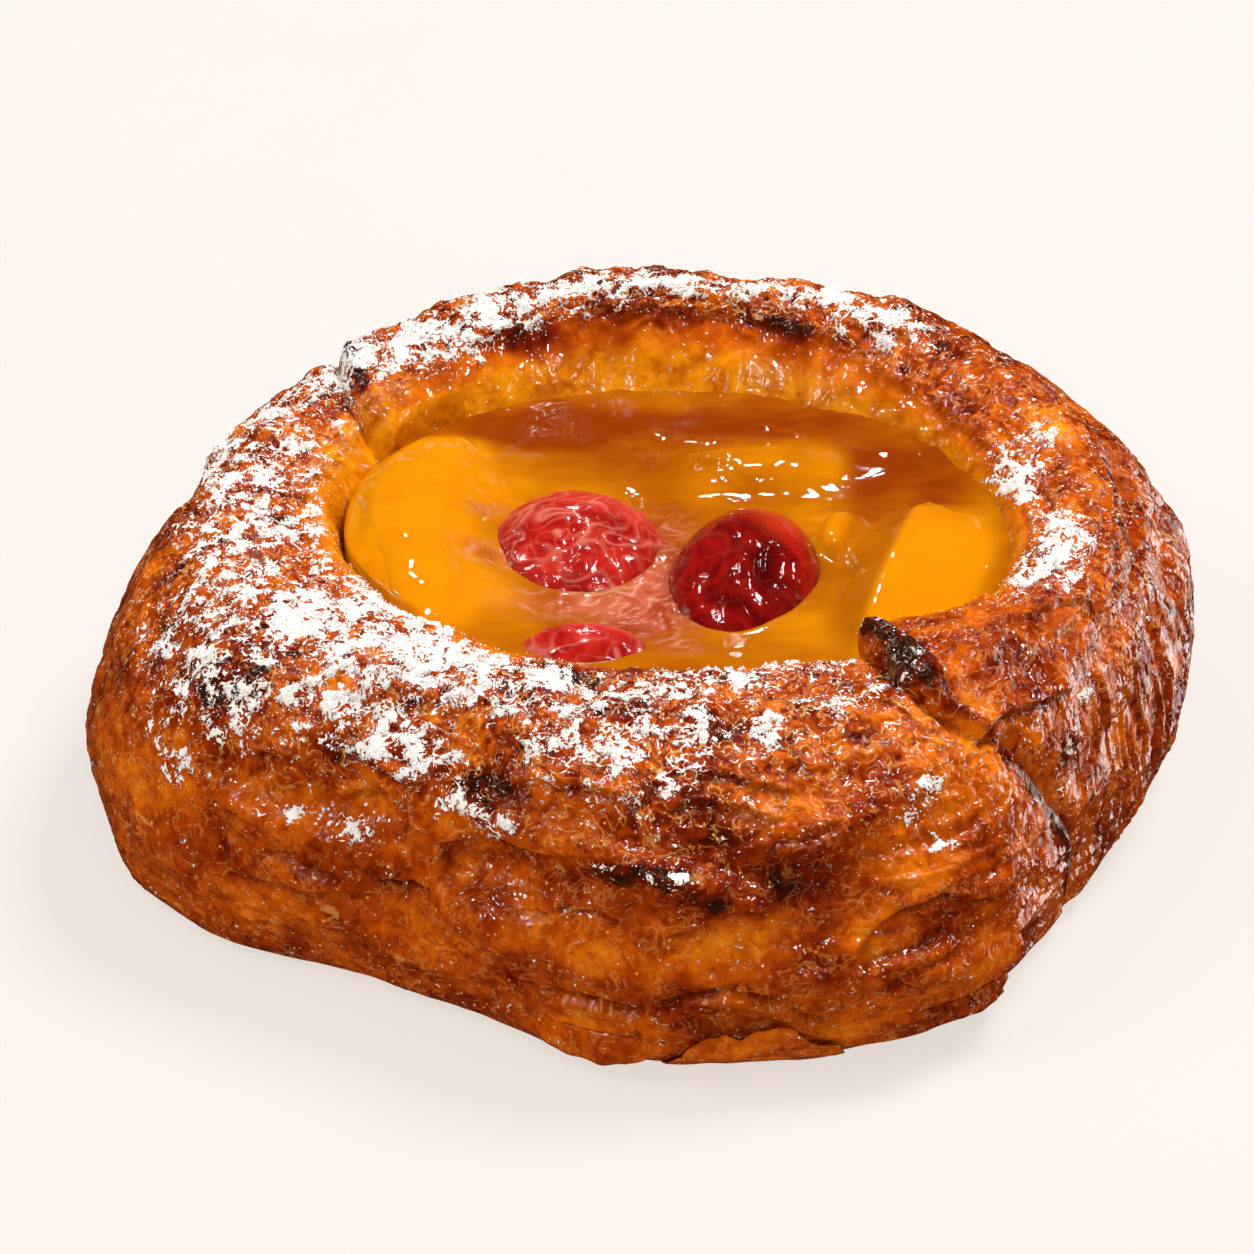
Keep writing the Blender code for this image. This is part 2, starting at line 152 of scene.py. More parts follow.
# Places on the crust: angle, half width in degrees, profile station, half width, amount
BROWNED_AND_SHADED = (
    (269, 6, 4.28, 0.13, 0.40),
    (276, 3, 4.02, 0.12, 0.32),
    (286, 6, 4.0, 0.60, 0.18),
    (284, 5, 3.2, 0.40, 0.14),
    (215, 5, 5.3, 0.60, 0.26),
    (219, 5, 6.0, 0.40, 0.20),
    (235, 4, 5.0, 0.35, 0.22),
    (226, 5, 5.8, 0.30, 0.14),
    (268, 9, 5.1, 0.30, 0.06),
    (346, 16, 3.5, 1.20, 0.10),
    (252, 6, 5.05, 0.25, 0.24),
    (259, 5, 8.05, 0.40, 0.40),
    (271, 7, 8.65, 0.30, 0.34),
    (281, 6, 8.45, 0.35, 0.26),
    (265, 5, 7.2, 0.40, 0.22),
    (93, 12, 6.6, 0.30, 0.20),
    (108, 14, 8.45, 0.40, 0.34),
    (84, 9, 8.25, 0.32, 0.34),
    (64, 9, 8.15, 0.32, 0.36),
    # This row darkens the hole beside the left slice: painted shade.
    (161, 4, 9.35, 0.25, 0.50),
    (30, 11, 8.4, 0.40, 0.16),
    (340, 18, 5.4, 0.30, 0.07),
    (322, 1.5, 4.25, 0.18, 0.24),
    (243, 4, 3.15, 0.35, 0.12),
    (312, 5, 2.1, 0.50, 0.22),
    (305, 6, 1.2, 0.50, 0.20),
    (205, 7, 4.6, 0.40, 0.10),
    (20, 14, 5.8, 0.60, 0.10),
    (349, 10, 6.4, 0.80, 0.12),
    (316, 9, 6.5, 0.90, 0.09),
    (43, 10, 7.0, 0.70, 0.08),
    (180, 14, 4.2, 0.60, 0.10),
    (146, 7, 7.4, 0.60, 0.14),
)
GOLDEN = (
    (226, 5, 4.55, 0.40, 0.16),
    (238, 5, 4.15, 0.35, 0.14),
    (216, 9, 3.0, 0.90, 0.13),
    (205, 8, 4.0, 0.60, 0.10),
    (303, 8, 4.4, 1.10, 0.14),
    (308, 6, 5.6, 0.70, 0.12),
    (300, 8, 6.4, 0.60, 0.12),
    (150, 9, 8.2, 0.50, 0.20),
    (170, 14, 8.7, 0.45, 0.18),
    (78, 16, 9.15, 0.30, 0.10),
    (276, 7, 3.3, 0.40, 0.12),
    (272, 16, 1.6, 0.60, 0.10),
    (337, 5, 5.0, 0.50, 0.14),
    (255, 14, 2.3, 0.60, 0.08),
    (232, 4, 7.1, 0.25, 0.16),
    (278, 5, 3.35, 0.28, 0.20),
    (250, 4, 3.7, 0.20, 0.14),
)
SUGARED = (
    (158, 12, 5.9, 0.80, 0.58),
    (176, 13, 6.9, 0.90, 0.55),
    (188, 12, 7.2, 1.00, 0.36),
    (204, 11, 6.8, 1.10, 0.52),
    (214, 11, 7.3, 1.10, 0.95),
    (165, 12, 7.9, 0.60, 0.70),
    (186, 11, 8.4, 0.50, 0.50),
    (209, 6, 8.9, 0.35, 0.90),
    (228, 9, 7.6, 0.80, 1.00),
    (225, 9, 8.6, 0.45, 1.00),
    (240, 9, 7.9, 0.60, 1.05),
    (252, 8, 8.0, 0.55, 0.90),
    (232, 8, 6.5, 0.55, 0.98),
    (245, 8, 7.2, 0.55, 0.72),
    (249, 7, 6.5, 0.45, 0.66),
    (229, 9, 5.6, 0.42, 0.88),
    (258, 6, 7.5, 0.70, 0.74),
    (261, 4, 6.2, 0.60, 0.90),
    (272, 9, 7.3, 0.80, 0.60),
    (277, 7, 6.2, 0.40, 0.32),
    (284, 9, 8.3, 0.55, 0.85),
    (296, 6, 8.6, 0.40, 0.95),
    (276, 4, 7.7, 0.30, 0.80),
    (262, 4, 5.8, 0.30, 0.50),
    (270, 5, 5.6, 0.35, 0.52),
    (228, 5, 8.8, 0.30, 0.50),
    (111, 6, 8.05, 0.35, 0.50),
    (283, 6, 6.3, 0.45, 0.32),
    (291, 5, 6.8, 0.45, 0.22),
    (298, 6, 7.0, 0.35, 0.58),
    (206, 9, 5.2, 0.45, 0.48),
    (217, 7, 5.1, 0.45, 0.55),
    (214, 4, 4.3, 0.30, 0.46),
    (240, 5, 5.35, 0.38, 1.40),
    (248, 3, 5.2, 0.25, 0.60),
    (235, 4.5, 3.98, 0.17, 1.25),
    (251, 4, 4.65, 0.24, 1.40),
    (269, 5, 4.34, 0.12, 0.66),
    (216, 2.2, 4.1, 0.20, 0.95),
    (297, 2.2, 4.6, 0.20, 0.52),
    (300, 1.6, 4.2, 0.14, 0.62),
    (300, 2.0, 5.0, 0.20, 0.45),
    (321, 1.6, 3.75, 0.22, 0.95),
    (12, 4, 7.5, 0.35, 0.85),
    (8, 5, 8.5, 0.45, 1.30),
    (2, 4, 8.6, 0.45, 1.10),
    (350, 6, 7.9, 0.50, 0.95),
    (343, 7, 7.4, 0.60, 1.30),
    (336, 5, 8.5, 0.35, 1.05),
    (338, 4, 6.7, 0.35, 0.90),
    (332, 6, 7.8, 0.35, 1.00),
    (328, 4, 4.9, 0.30, 0.34),
    (137, 8, 7.3, 0.60, 1.15),
    (123, 10, 7.2, 0.75, 1.15),
    (110, 9, 7.3, 0.65, 1.12),
    (97, 9, 7.4, 0.60, 1.20),
    (84, 8, 7.2, 0.55, 1.10),
    (72, 8, 7.0, 0.45, 0.88),
    (60, 8, 6.9, 0.45, 0.82),
    (52, 8, 7.2, 0.50, 0.80),
    (46, 6, 7.2, 0.40, 0.45),
    (50, 6, 7.9, 0.30, 0.22),
    (132, 8, 7.9, 0.40, 0.60),
    (123, 6, 8.4, 0.35, 0.80),
    (150, 9, 6.9, 0.70, 0.66),
    (118, 10, 5.6, 0.50, 0.45),
)

# Sharp folds of the outer layers. Each has a height in millimetres, which is negative where the side to the
# right of its line is the lifted one, how pale its edge is, and its line as angles and stations
FOLDS = (
    (1.0, 0.9, ((290, 4.85), (287, 4.65), (284, 4.6), (282, 4.5))),
    (-0.9, 0.8, ((282, 4.55), (282.5, 4.35), (283, 3.95), (280.5, 3.8), (278, 3.8), (274.5, 3.55),
                 (272, 3.4))),
    (-1.6, 0.6, ((270, 2.25), (272, 2.5), (275, 2.75), (278.5, 2.8), (282, 2.65), (285.5, 2.25),
                 (287.5, 2.05))),
    (1.2, 0.3, ((268.5, 2.3), (270, 2.05), (269.5, 1.85))),
    (-1.2, 0.5, ((258.5, 2.3), (263.5, 2.45), (268, 2.35), (270, 2.25))),
    (1.2, 0.9, ((288.5, 3.0), (290.5, 3.25), (293, 3.5), (296, 3.65), (298.5, 3.65), (304, 3.4), (310, 3.4))),
    (-0.9, 0.6, ((290, 2.9), (292.5, 3.05), (296.5, 3.1), (300, 3.2))),
    (0.9, 0.5, ((287.5, 2.0), (292, 2.45), (296.5, 2.65), (300, 2.8))),
    (-0.8, 0.5, ((289.5, 2.55), (293, 2.75), (298, 2.9), (303, 3.0))),
    (1.0, 0.6, ((252.5, 4.45), (258, 4.3), (264, 4.45))),
    (0.9, 0.5, ((272.5, 5.15), (275, 5.3), (281.5, 5.1), (284, 4.9))),
    (0.8, 0.5, ((257.5, 3.65), (260, 3.55), (263, 3.8), (266, 3.7), (268, 3.6))),
    (0.5, 0.8, ((330, 5.0), (331.5, 4.3), (328.5, 3.7), (323, 3.7))),
    (0.5, 0.8, ((335, 4.4), (340, 3.7), (340, 3.3), (336.5, 3.0), (332.5, 2.85))),
    (0.7, 0.9, ((198.5, 4.1), (205, 4.3), (206.5, 3.75), (207, 3.45), (211.5, 3.2), (214.5, 2.9))),
    (0.8, 1.0, ((221.5, 3.85), (224.5, 3.8), (223, 3.5), (224.5, 3.05), (228, 2.95), (231, 3.0),
                (235.5, 2.65), (237, 2.45))),
    (-1.1, 0.8, ((226.5, 3.05), (227.5, 3.3), (229.5, 3.35), (231.5, 3.25), (234, 3.2), (236.5, 3.15))),
    (0.9, 0.6, ((229.5, 3.1), (232.5, 2.95), (235.5, 3.05), (239, 3.0))),
    (1.0, 0.7, ((237.5, 3.75), (239, 3.5), (240.5, 3.35), (245, 3.5), (247.5, 3.45))),
    (-1.2, 0.7, ((252, 4.4), (248, 4.1), (247.5, 3.85), (248.5, 3.6), (250.5, 3.55), (254, 3.6),
                 (257.5, 3.8))),
    (1.0, 0.4, ((233.5, 4.15), (235, 4.4), (239, 4.55), (243, 4.45), (244, 4.2), (242.5, 3.9))),
    (0.8, 0.4, ((223.5, 4.6), (225, 4.75), (229, 4.75))),
    (0.45, 1.0, ((214.5, 3.65), (218, 3.35), (220.5, 3.0), (222, 2.6), (224.5, 2.1), (225.5, 1.95))),
    (0.45, 1.0, ((220, 3.75), (222.5, 3.45), (223.5, 3.15), (227, 2.7), (229, 2.2))),
    (0.45, 1.0, ((210, 3.0), (213, 2.9), (215.5, 2.7), (217.5, 2.45), (220.5, 2.05))),
    (1.1, 0.4, ((252.5, 5.05), (258, 5.35), (265.5, 5.35), (271, 5.25))),
    (1.0, 0.5, ((275, 5.7), (280.5, 5.55), (286.5, 5.3))),
    (1.0, 0.3, ((234.5, 5.15), (240, 4.85), (244.5, 4.8))),
    (0.9, 0.5, ((307, 5.25), (311.5, 5.5), (318, 5.35), (325.5, 5.0))),
    (0.8, 0.4, ((312, 7.0), (322, 7.1), (330, 6.55), (336.5, 5.9))),
    (-0.9, 0.4, ((128.5, 8.1), (112.5, 8.1), (97, 7.9), (80, 7.6))),
)
# Across a fold, in millimetres: how far its lifted side, its crease and its pale edge reach, half the width
# of its edge, and how far from its line it is worked out
FOLD_REACH, CREASE_REACH, PALE_REACH = 2.4, 0.55, 0.42
FOLD_EDGE = 0.30
FOLD_MARGIN = 8.0
# The depth of the crease and the length of the fold's soft ends, as shares
CREASE_SHARE = 0.45
FOLD_END = 0.14

# Parts of the ring whose skin differs, and where the jelly climbs and dips: the middle and half width of each
BACK_SIDE, RIGHT_SIDE = (88.0, 46.0), (2.0, 38.0)
FRONT_RIGHT, FLAP, LEFT_LIP = (296.0, 16.0), (318.0, 13.0), (160.0, 20.0)
JELLY_CLIMBS, JELLY_DIPS = (5.0, 45.0), (170.0, 22.0)

# In millimetres: how far the skin is sunk, how far each kind of relief stands off it, how much less some do
# at the right, and how thick its layers are
SKIN_SUNK = 0.42
RIDGES_HIGH, LAYERS_HIGH, GLAZE_HIGH = 0.09, 0.50, 0.45
CRUMBS_HIGH, CRUMBS_LESS = 0.65, 0.40
GRAIN_HIGH, GRAIN_LESS = 0.20, 0.10
UPRIGHT_HIGH, LENGTHWISE_HIGH = 0.52, 0.34
STRANDS_HIGH, WISPS_HIGH = 0.14, 0.12
LAYER_THICKNESS = 2.1

# How much darker grooves, the burnt corner and creases are, and how much paler crumbs and grain are: painted
# shade in the grooves, the creases and below the burnt corner, and painted light on the raised crumbs and
# grain
GROOVE_DARKER, CORNER_DARKER, CREASE_DARKER = 0.46, 0.50, 0.15
CRUMBS_PALER, GRAIN_PALER = 0.20, 0.04

# How far the crust is baked at each station, and the level above which its patches hardly darken
BAKED_ALONG = (
    (0.0, 0.60),
    (1.0, 0.56),
    (2.5, 0.53),
    (4.0, 0.52),
    (5.2, 0.51),
    (7.0, 0.49),
    (8.2, 0.44),
    (8.9, 0.30),
    (9.3, 0.22),
    (10.0, 0.20),
)
EVENLY_BAKED = 0.62

# Colours in linear light
DUST_WHITE = (0.93, 0.90, 0.86)
# The pale tan of strands and curls, which also paints highlights on the crests and glints in the specks
TAN_AND_HIGHLIGHT = (0.80, 0.34, 0.070)
MEMBRANE_PINK = (0.72, 0.38, 0.28)
BROWNING_STEPS = (
    (0.00, (0.86, 0.27, 0.004)),
    (0.20, (0.70, 0.160, 0.002)),
    (0.40, (0.50, 0.080, 0.001)),
    (0.58, (0.31, 0.036, 0.001)),
    (0.76, (0.165, 0.0105, 0.0006)),
    (0.90, (0.082, 0.0060, 0.0008)),
    (1.00, (0.026, 0.0060, 0.0025)),
)
SOAKED_STEPS = (
    (0.20, (0.70, 0.240, 0.002)),
    (0.50, (0.56, 0.160, 0.001)),
    (0.80, (0.38, 0.080, 0.001)),
)
JELLY_STEPS = (
    (0.0, (0.64, 0.218, 0.001)),
    (0.35, (0.46, 0.140, 0.001)),
    (0.60, (0.36, 0.094, 0.001)),
    (0.80, (0.29, 0.056, 0.001)),
    (1.0, (0.22, 0.031, 0.001)),
)
BLUSH_STEPS = (
    (0.35, (0.30, 0.026, 0.014)),
    (0.65, (0.52, 0.13, 0.080)),
)
PEACH_STEPS = (
    (0.0, (0.58, 0.186, 0.001)),
    (0.5, (0.64, 0.218, 0.001)),
    (1.0, (0.69, 0.250, 0.001)),
)
# The berries' deep and bright red, their veins, and the painted light on their side towards the lamp
SQUASHED_REDS = ((0.30, 0.006, 0.006), (0.48, 0.020, 0.012), (0.66, 0.22, 0.16), (0.56, 0.050, 0.030))
GLOSSY_REDS = ((0.13, 0.002, 0.002), (0.33, 0.006, 0.004), (0.60, 0.14, 0.08), (0.66, 0.055, 0.008))


def wrapped(angle):
    """An angle in degrees brought between -180 and 180."""
    return (angle + 180.0) % 360.0 - 180.0


def bell(off, half_width, power=2):
    """1 where a distance is nothing, and a soft fall to both sides: a higher power gives it a flatter top."""
    return np.exp(-((off / half_width) ** power))


def smooth_curve(before, low, high, after, share):
    """A value a share of the way from low to high, on the smooth curve through four values at even steps."""
    tilt = 2 * before - 5 * low + 4 * high - after
    bend = 3 * (low - high) + after - before
    return low + 0.5 * share * (high - before + share * (tilt + share * bend))


def lengths_along(points):
    """How far along a line each of its points is."""
    return np.concatenate([[0.0], np.cumsum(np.linalg.norm(np.diff(points, axis=0), axis=1))])


def round_the_ring(column, angle):
    """A station value at any angle, by a smooth periodic curve through the twelve stations."""
    count = len(STATIONS)
    place = np.asarray(angle, float) % 360.0 / (360.0 / count)
    before = np.floor(place).astype(int)
    around = [STATIONS[(before + k) % count, column] for k in (-1, 0, 1, 2)]
    return smooth_curve(*around, place - before)


def profile_points(angle):
    """The radius and height of the profile's stations at each angle, from the foot over the crest."""
    outer, crest, top, lip, lip_top, well = (round_the_ring(k, angle) for k in range(6))
    shoulder = outer - crest
    inside = crest - lip
    radius = [
        outer * 0.87,
        outer - 2.6 * MM,
        outer - 0.7 * MM,
        outer,
        outer - 0.10 * shoulder,
        outer - 0.32 * shoulder,
        outer - 0.66 * shoulder,
        crest,
        crest - 0.52 * inside,
        lip,
        well,
        well - 3.0 * MM,
        well - 8.0 * MM,
    ]
    flat = np.zeros_like(outer)
    height = [
        flat,
        flat + 1.3 * MM,
        0.17 * top,
        0.38 * top,
        0.61 * top,
        0.80 * top,
        0.94 * top,
        top,
        top - 0.26 * (top - lip_top),
        lip_top,
        lip_top - 6.5 * MM,
        flat + FLOOR_HEIGHT + 2.5 * MM,
        flat + FLOOR_HEIGHT,
    ]
    return np.array(radius), np.array(height)


def along_profile(points, station):
    """Values on a smooth curve through the profile's stations, at one station for each angle."""
    before = np.clip(np.floor(station).astype(int), 0, len(points) - 2)
    column = np.arange(points.shape[1])
    low, high = points[before, column], points[before + 1, column]
    first = np.where(before > 0, points[before - 1, column], 2 * low - high)
    past = np.minimum(before + 2, len(points) - 1)
    last = np.where(before + 2 < len(points), points[past, column], 2 * high - low)
    return smooth_curve(first, low, high, last, station - before)


def seam_angle(seam, station):
    """The angle at which a seam lies at a profile station."""
    return np.interp(station, seam[:, 0], seam[:, 1])


def past_seam(seam, angle, station):
    """How many degrees an angle is past a seam at a profile station."""
    return wrapped(angle - seam_angle(seam, station))


def seam_relief(seam, side, angle, station):
    """The step and the groove beside a seam: side is 1 for the arm past it and -1 for the arm before it."""
    step = np.interp(station, seam[:, 0], seam[:, 2])
    own = np.maximum(side * past_seam(seam, angle, station), 0.0)
    proud = 0.5 * step * side * np.exp(-own / SEAM_FADE)
    lower = (step * side < 0.0) * 0.8 + 0.2
    groove = GROOVE_DEPTH * lower * bell(own, GROOVE_WIDTH)
    return proud - groove * np.interp(station, (0.5, 1.5, 8.5, 9.5), (0.0, 1.0, 1.0, 0.0))


def spots(rows, angle, station):
    """The sum of soft spots, from rows of an angle, its half width, a station, its half width, an amount."""
    total = np.zeros_like(angle)
    for centre, half_angle, at, half_station, amount in rows:
        far = (wrapped(angle - centre) / half_angle) ** 2 + ((station - at) / half_station) ** 2
        total += amount * np.exp(-far)
    return total


def dough_relief(angle, station):
    """The swellings, hollows and folds of the baked dough, and the fold line below the shoulder."""
    total = np.zeros_like(angle)
    for centre, half_angle, at, half_station, slope, height in RELIEF:
        past = wrapped(angle - centre)
        along = (station - at - slope * past) / half_station
        total += height * np.exp(-((past / half_angle) ** 2) - along * along)
    turn = np.radians(angle)
    at = SHOULDER - 0.15 + 0.35 * np.sin(3 * turn + 0.6) + 0.2 * np.sin(7 * turn + 2.0)
    strength = 0.55 + 0.45 * np.sin(2 * turn + 3.6) * np.cos(5 * turn + 0.4)
    return total - CREASE_DEPTH * strength * bell(station - at, CREASE_WIDTH)


def smooth_skin(angle, station):
    """Points of the crust's skin without relief, and the way it faces."""
    radius, height = profile_points(angle)
    low, high = np.maximum(0.0, station - 0.02), np.minimum(LAST, station + 0.02)
    along_r = along_profile(radius, high) - along_profile(radius, low)
    along_z = along_profile(height, high) - along_profile(height, low)
    size = np.hypot(along_r, along_z)
    turn = np.radians(angle)
    out = np.array([np.cos(turn), np.sin(turn), np.zeros_like(turn)])
    up = np.array([[0.0], [0.0], [1.0]])
    points = out * along_profile(radius, station) + up * along_profile(height, station)
    facing = out * (along_z / size) - up * (along_r / size)
    return points.T, facing.T


# The profile at the front, which gives every station its length up the skin, and a radius in millimetres at
# which the skin is rolled out
TYPICAL_STATIONS = np.linspace(0.0, LAST, 600)
TYPICAL_LENGTHS = lengths_along(smooth_skin(np.full(600, 270.0), TYPICAL_STATIONS)[0])
SKIN_RADIUS = 52.0


def length_up(station):
    """How far up the skin from its foot a station is, on a typical profile."""
    return np.interp(station, TYPICAL_STATIONS, TYPICAL_LENGTHS)


def skin_places(angle, station):
    """Places on the skin in millimetres, rolled out so that noise is even: two round the ring, one up it."""
    turn = np.radians(angle)
    along = length_up(station) / MM
    return np.stack([SKIN_RADIUS * np.cos(turn), SKIN_RADIUS * np.sin(turn), along], 1)


def waves(places, cell, shift=0.0):
    """Soft noise at N places, from about -1 to 1, with one wave to a cell: one size, or one for each axis."""
    return np.array([noise.noise(place) for place in (places / cell + shift).tolist()])


def mixed_waves(places, *rows):
    """Soft noises added up, from rows of an amount, a cell and a shift."""
    return sum(amount * waves(places, cell, shift) for amount, cell, shift in rows)


def nearest_cell(places, cell, shift=0.0):
    """How far each place is from the nearest of a scatter of centres, in cells."""
    return np.array([noise.voronoi(place)[0][0] for place in (places / cell + shift).tolist()])


def between(value, low, high):
    """0 below a value, 1 above another, and a smooth rise between."""
    t = np.clip((value - low) / (high - low), 0.0, 1.0)
    return t * t * (3.0 - 2.0 * t)


def three_waves(places, cell, shifts):
    """Three soft noises side by side, to push places about."""
    return np.stack([waves(places, cell, shift) for shift in shifts], 1)


def beside_line(x, y, line_x, line_y):
    """How far points are from a line of straight bits, on which side, and how far along it, from 0 to 1."""
    far, side, share = np.full(len(x), 99.0), np.zeros(len(x)), np.zeros(len(x))
    for k in range(len(line_x) - 1):
        step_x, step_y = line_x[k + 1] - line_x[k], line_y[k + 1] - line_y[k]
        off_x, off_y = x - line_x[k], y - line_y[k]
        t = np.clip((off_x * step_x + off_y * step_y) / (step_x ** 2 + step_y ** 2), 0.0, 1.0)
        reach = np.hypot(off_x - t * step_x, off_y - t * step_y)
        closer = reach < far
        far = np.where(closer, reach, far)
        side = np.where(closer, np.sign(step_x * off_y - step_y * off_x), side)
        share = np.where(closer, (k + t) / (len(line_x) - 1), share)
    return far, side, share


def fold_effects(angle, station):
    """The steps at the sharp folds, in millimetres, and masks of their pale edges and of the creases, which
    are darkened as painted shade.
    """
    relief, pale, dark = np.zeros_like(angle), np.zeros_like(angle), np.zeros_like(angle)
    places = skin_places(angle, station)
    sway = 0.7 * waves(places, 2.6, 81.0)
    up = places[:, 2] + 0.6 * waves(places, 2.2, 83.0)
    for height, paleness, line in FOLDS:
        turns, stations = np.array(line, float).T
        line_x = np.radians(turns - turns[0]) * SKIN_RADIUS
        line_y = length_up(stations) / MM
        across = np.radians(wrapped(angle - turns[0])) * SKIN_RADIUS + sway
        near = np.flatnonzero((across > line_x.min() - FOLD_MARGIN) & (across < line_x.max() + FOLD_MARGIN))
        far, side, share = beside_line(across[near], up[near], line_x, line_y)
        fade = between(np.minimum(share, 1.0 - share), 0.0, FOLD_END)
        lifted = between(side * far * np.sign(height), -FOLD_EDGE, FOLD_EDGE)
        crease = bell(far, CREASE_REACH)
        low = -CREASE_SHARE * crease
        step = lifted * np.exp(-far / FOLD_REACH) + (1.0 - lifted) * low
        relief[near] += abs(height) * fade * step
        pale[near] += paleness * fade * lifted * bell(far, PALE_REACH)
        dark[near] += min(1.0, abs(height)) * fade * (1.0 - lifted) * crease
    return relief, np.clip(pale, 0.0, 1.0), np.clip(dark, 0.0, 1.0)


def ridged(places, cell, shift=0.0):
    """Noise with sharp crests, from about -0.5 in its hollows to 1 on its crests."""
    return 1.0 - 3.0 * np.abs(waves(places, cell, shift))


def near_angle(angle, part, power=4):
    """1 in the middle of a part of the ring, and a soft fall to both sides."""
    middle, half_width = part
    return bell(wrapped(angle - middle), half_width, power)


def crust_regions(angle, station):
    """Masks, from 0 to 1, of the parts of the crust whose skin differs."""
    back, right = near_angle(angle, BACK_SIDE), near_angle(angle, RIGHT_SIDE)
    inward = station + 0.5 * back
    on_wall = between(station, 0.8, 1.6) * (1.0 - between(station, 4.4, 5.6))
    front_right = on_wall * near_angle(angle, FRONT_RIGHT)
    front_low = between(station, 0.6, 1.2) * (1.0 - between(station, 2.6, 3.6))
    flap = between(station, 4.6, 5.8) * near_angle(angle, FLAP)
    return SimpleNamespace(
        right=right,
        on_top=between(station, 4.6, 5.8) * (1.0 - between(inward, 8.4, 8.9)),
        on_wall=on_wall,
        right_wall=on_wall * right,
        layered=np.maximum(front_right, 0.35 * front_low),
        plainer=1.0 - 0.55 * np.maximum(front_right, flap),
        inner=between(inward, 8.5, 8.9),
        glazed_band=back * bell(inward - 8.75, 0.40),
    )


def glaze_strands(places, sway, share):
    """The winding strands of dried glaze on the wall, where they gather, times how much of them shows."""
    broad = bell(waves(places + 3.0 * sway, (8.5, 8.5, 6.0), 21.0), 0.032)
    fine = bell(waves(places + 2.5 * sway, 4.6, 33.0), 0.060)
    gathered = between(waves(places, 11.0, 39.0), -0.25, 0.25)
    return np.maximum(broad, 0.9 * fine) * (gathered * share)


def layer_edges(places):
    """The stacked edges of thin layers: a height that climbs over each sheet and drops at its edge."""
    layer = places[:, 2] / LAYER_THICKNESS + 0.9 * waves(places, (13.0, 13.0, 6.0), 15.0)
    layer += 0.25 * waves(places, 3.0, 8.0)
    return (layer - np.floor(layer)) ** 1.6


def skin_noises(part, places, station):
    """The noises that make up the skin, with their sizes in millimetres."""
    sway = three_waves(places, 6.0, (3.1, 7.7, 11.3))
    bent = places + 2.2 * sway
    wisps = bell(waves(places + 2.0 * sway, 3.2, 35.0), 0.11)
    return SimpleNamespace(
        lumps=0.80 * waves(places, 9.0) + (0.30 + 0.35 * part.on_top) * waves(bent, 4.4, 2.0),
        ridges=ridged(bent, (4.6, 4.6, 2.2), 5.0),
        crumbs=0.55 - nearest_cell(bent, 2.6, 1.0),
        grain=ridged(places + 0.9 * sway, 1.6, 9.0),
        upright=ridged(places + 1.2 * sway, (2.2, 2.2, 18.0), 4.0),
        lengthwise=ridged(places + 1.2 * sway, (16.0, 16.0, 2.0), 6.0),
        glazed=ridged(bent, 3.0, 12.0),
        strands=glaze_strands(places, sway, part.plainer),
        wisps=wisps * part.inner * between(station, 8.9, 9.2),
    )


def crust_relief(angle, station):
    """The baked skin's own relief in metres, and masks of what shows as strands, crumbs and dips."""
    part = crust_regions(angle, station)
    right, on_top, right_wall = part.right, part.on_top, part.right_wall
    places = skin_places(angle, station)
    skin = skin_noises(part, places, station)
    folds, fold_edges, creases = fold_effects(angle, station)

    lumps = skin.lumps * (1.0 - 0.4 * part.inner)
    relief = lumps + RIDGES_HIGH * part.on_wall * skin.ridges + folds - SKIN_SUNK
    crumbs = (CRUMBS_HIGH - CRUMBS_LESS * right) * skin.crumbs
    relief += on_top * (crumbs + (GRAIN_HIGH - GRAIN_LESS * right) * skin.grain)
    upright = UPRIGHT_HIGH * right_wall * (skin.upright - 0.6)
    relief += upright + LENGTHWISE_HIGH * right * on_top * (skin.lengthwise - 0.4)
    relief += GLAZE_HIGH * part.glazed_band * skin.glazed
    strands = STRANDS_HIGH * skin.strands * part.on_wall * (1.0 - 0.6 * right_wall)
    relief += strands + WISPS_HIGH * skin.wisps
    relief += LAYERS_HIGH * part.layered * layer_edges(places)

    pale = skin.strands * part.on_wall * (1.0 - 0.7 * right_wall)
    pale += between(skin.upright, 0.70, 1.0) * right_wall
    curly = np.maximum(on_top * (1.0 - 0.35 * right), between(station, 3.0, 5.0) * 0.7)
    left_lip = near_angle(angle, LEFT_LIP, power=2) * between(station, 8.1, 8.6)
    masks = {
        "strands": np.clip(pale + 0.9 * fold_edges + 0.8 * skin.wisps, 0.0, 1.0),
        "crumbs": skin.crumbs * on_top,
        "grain": skin.grain * on_top,
        "creases": creases,
        "coarse": np.clip(curly * (1.0 - part.inner) * part.plainer, 0.34 - 0.32 * part.inner, 1.0),
        "soaked": between(station, 8.75, 9.15) + left_lip,
    }
    return relief * MM, masks


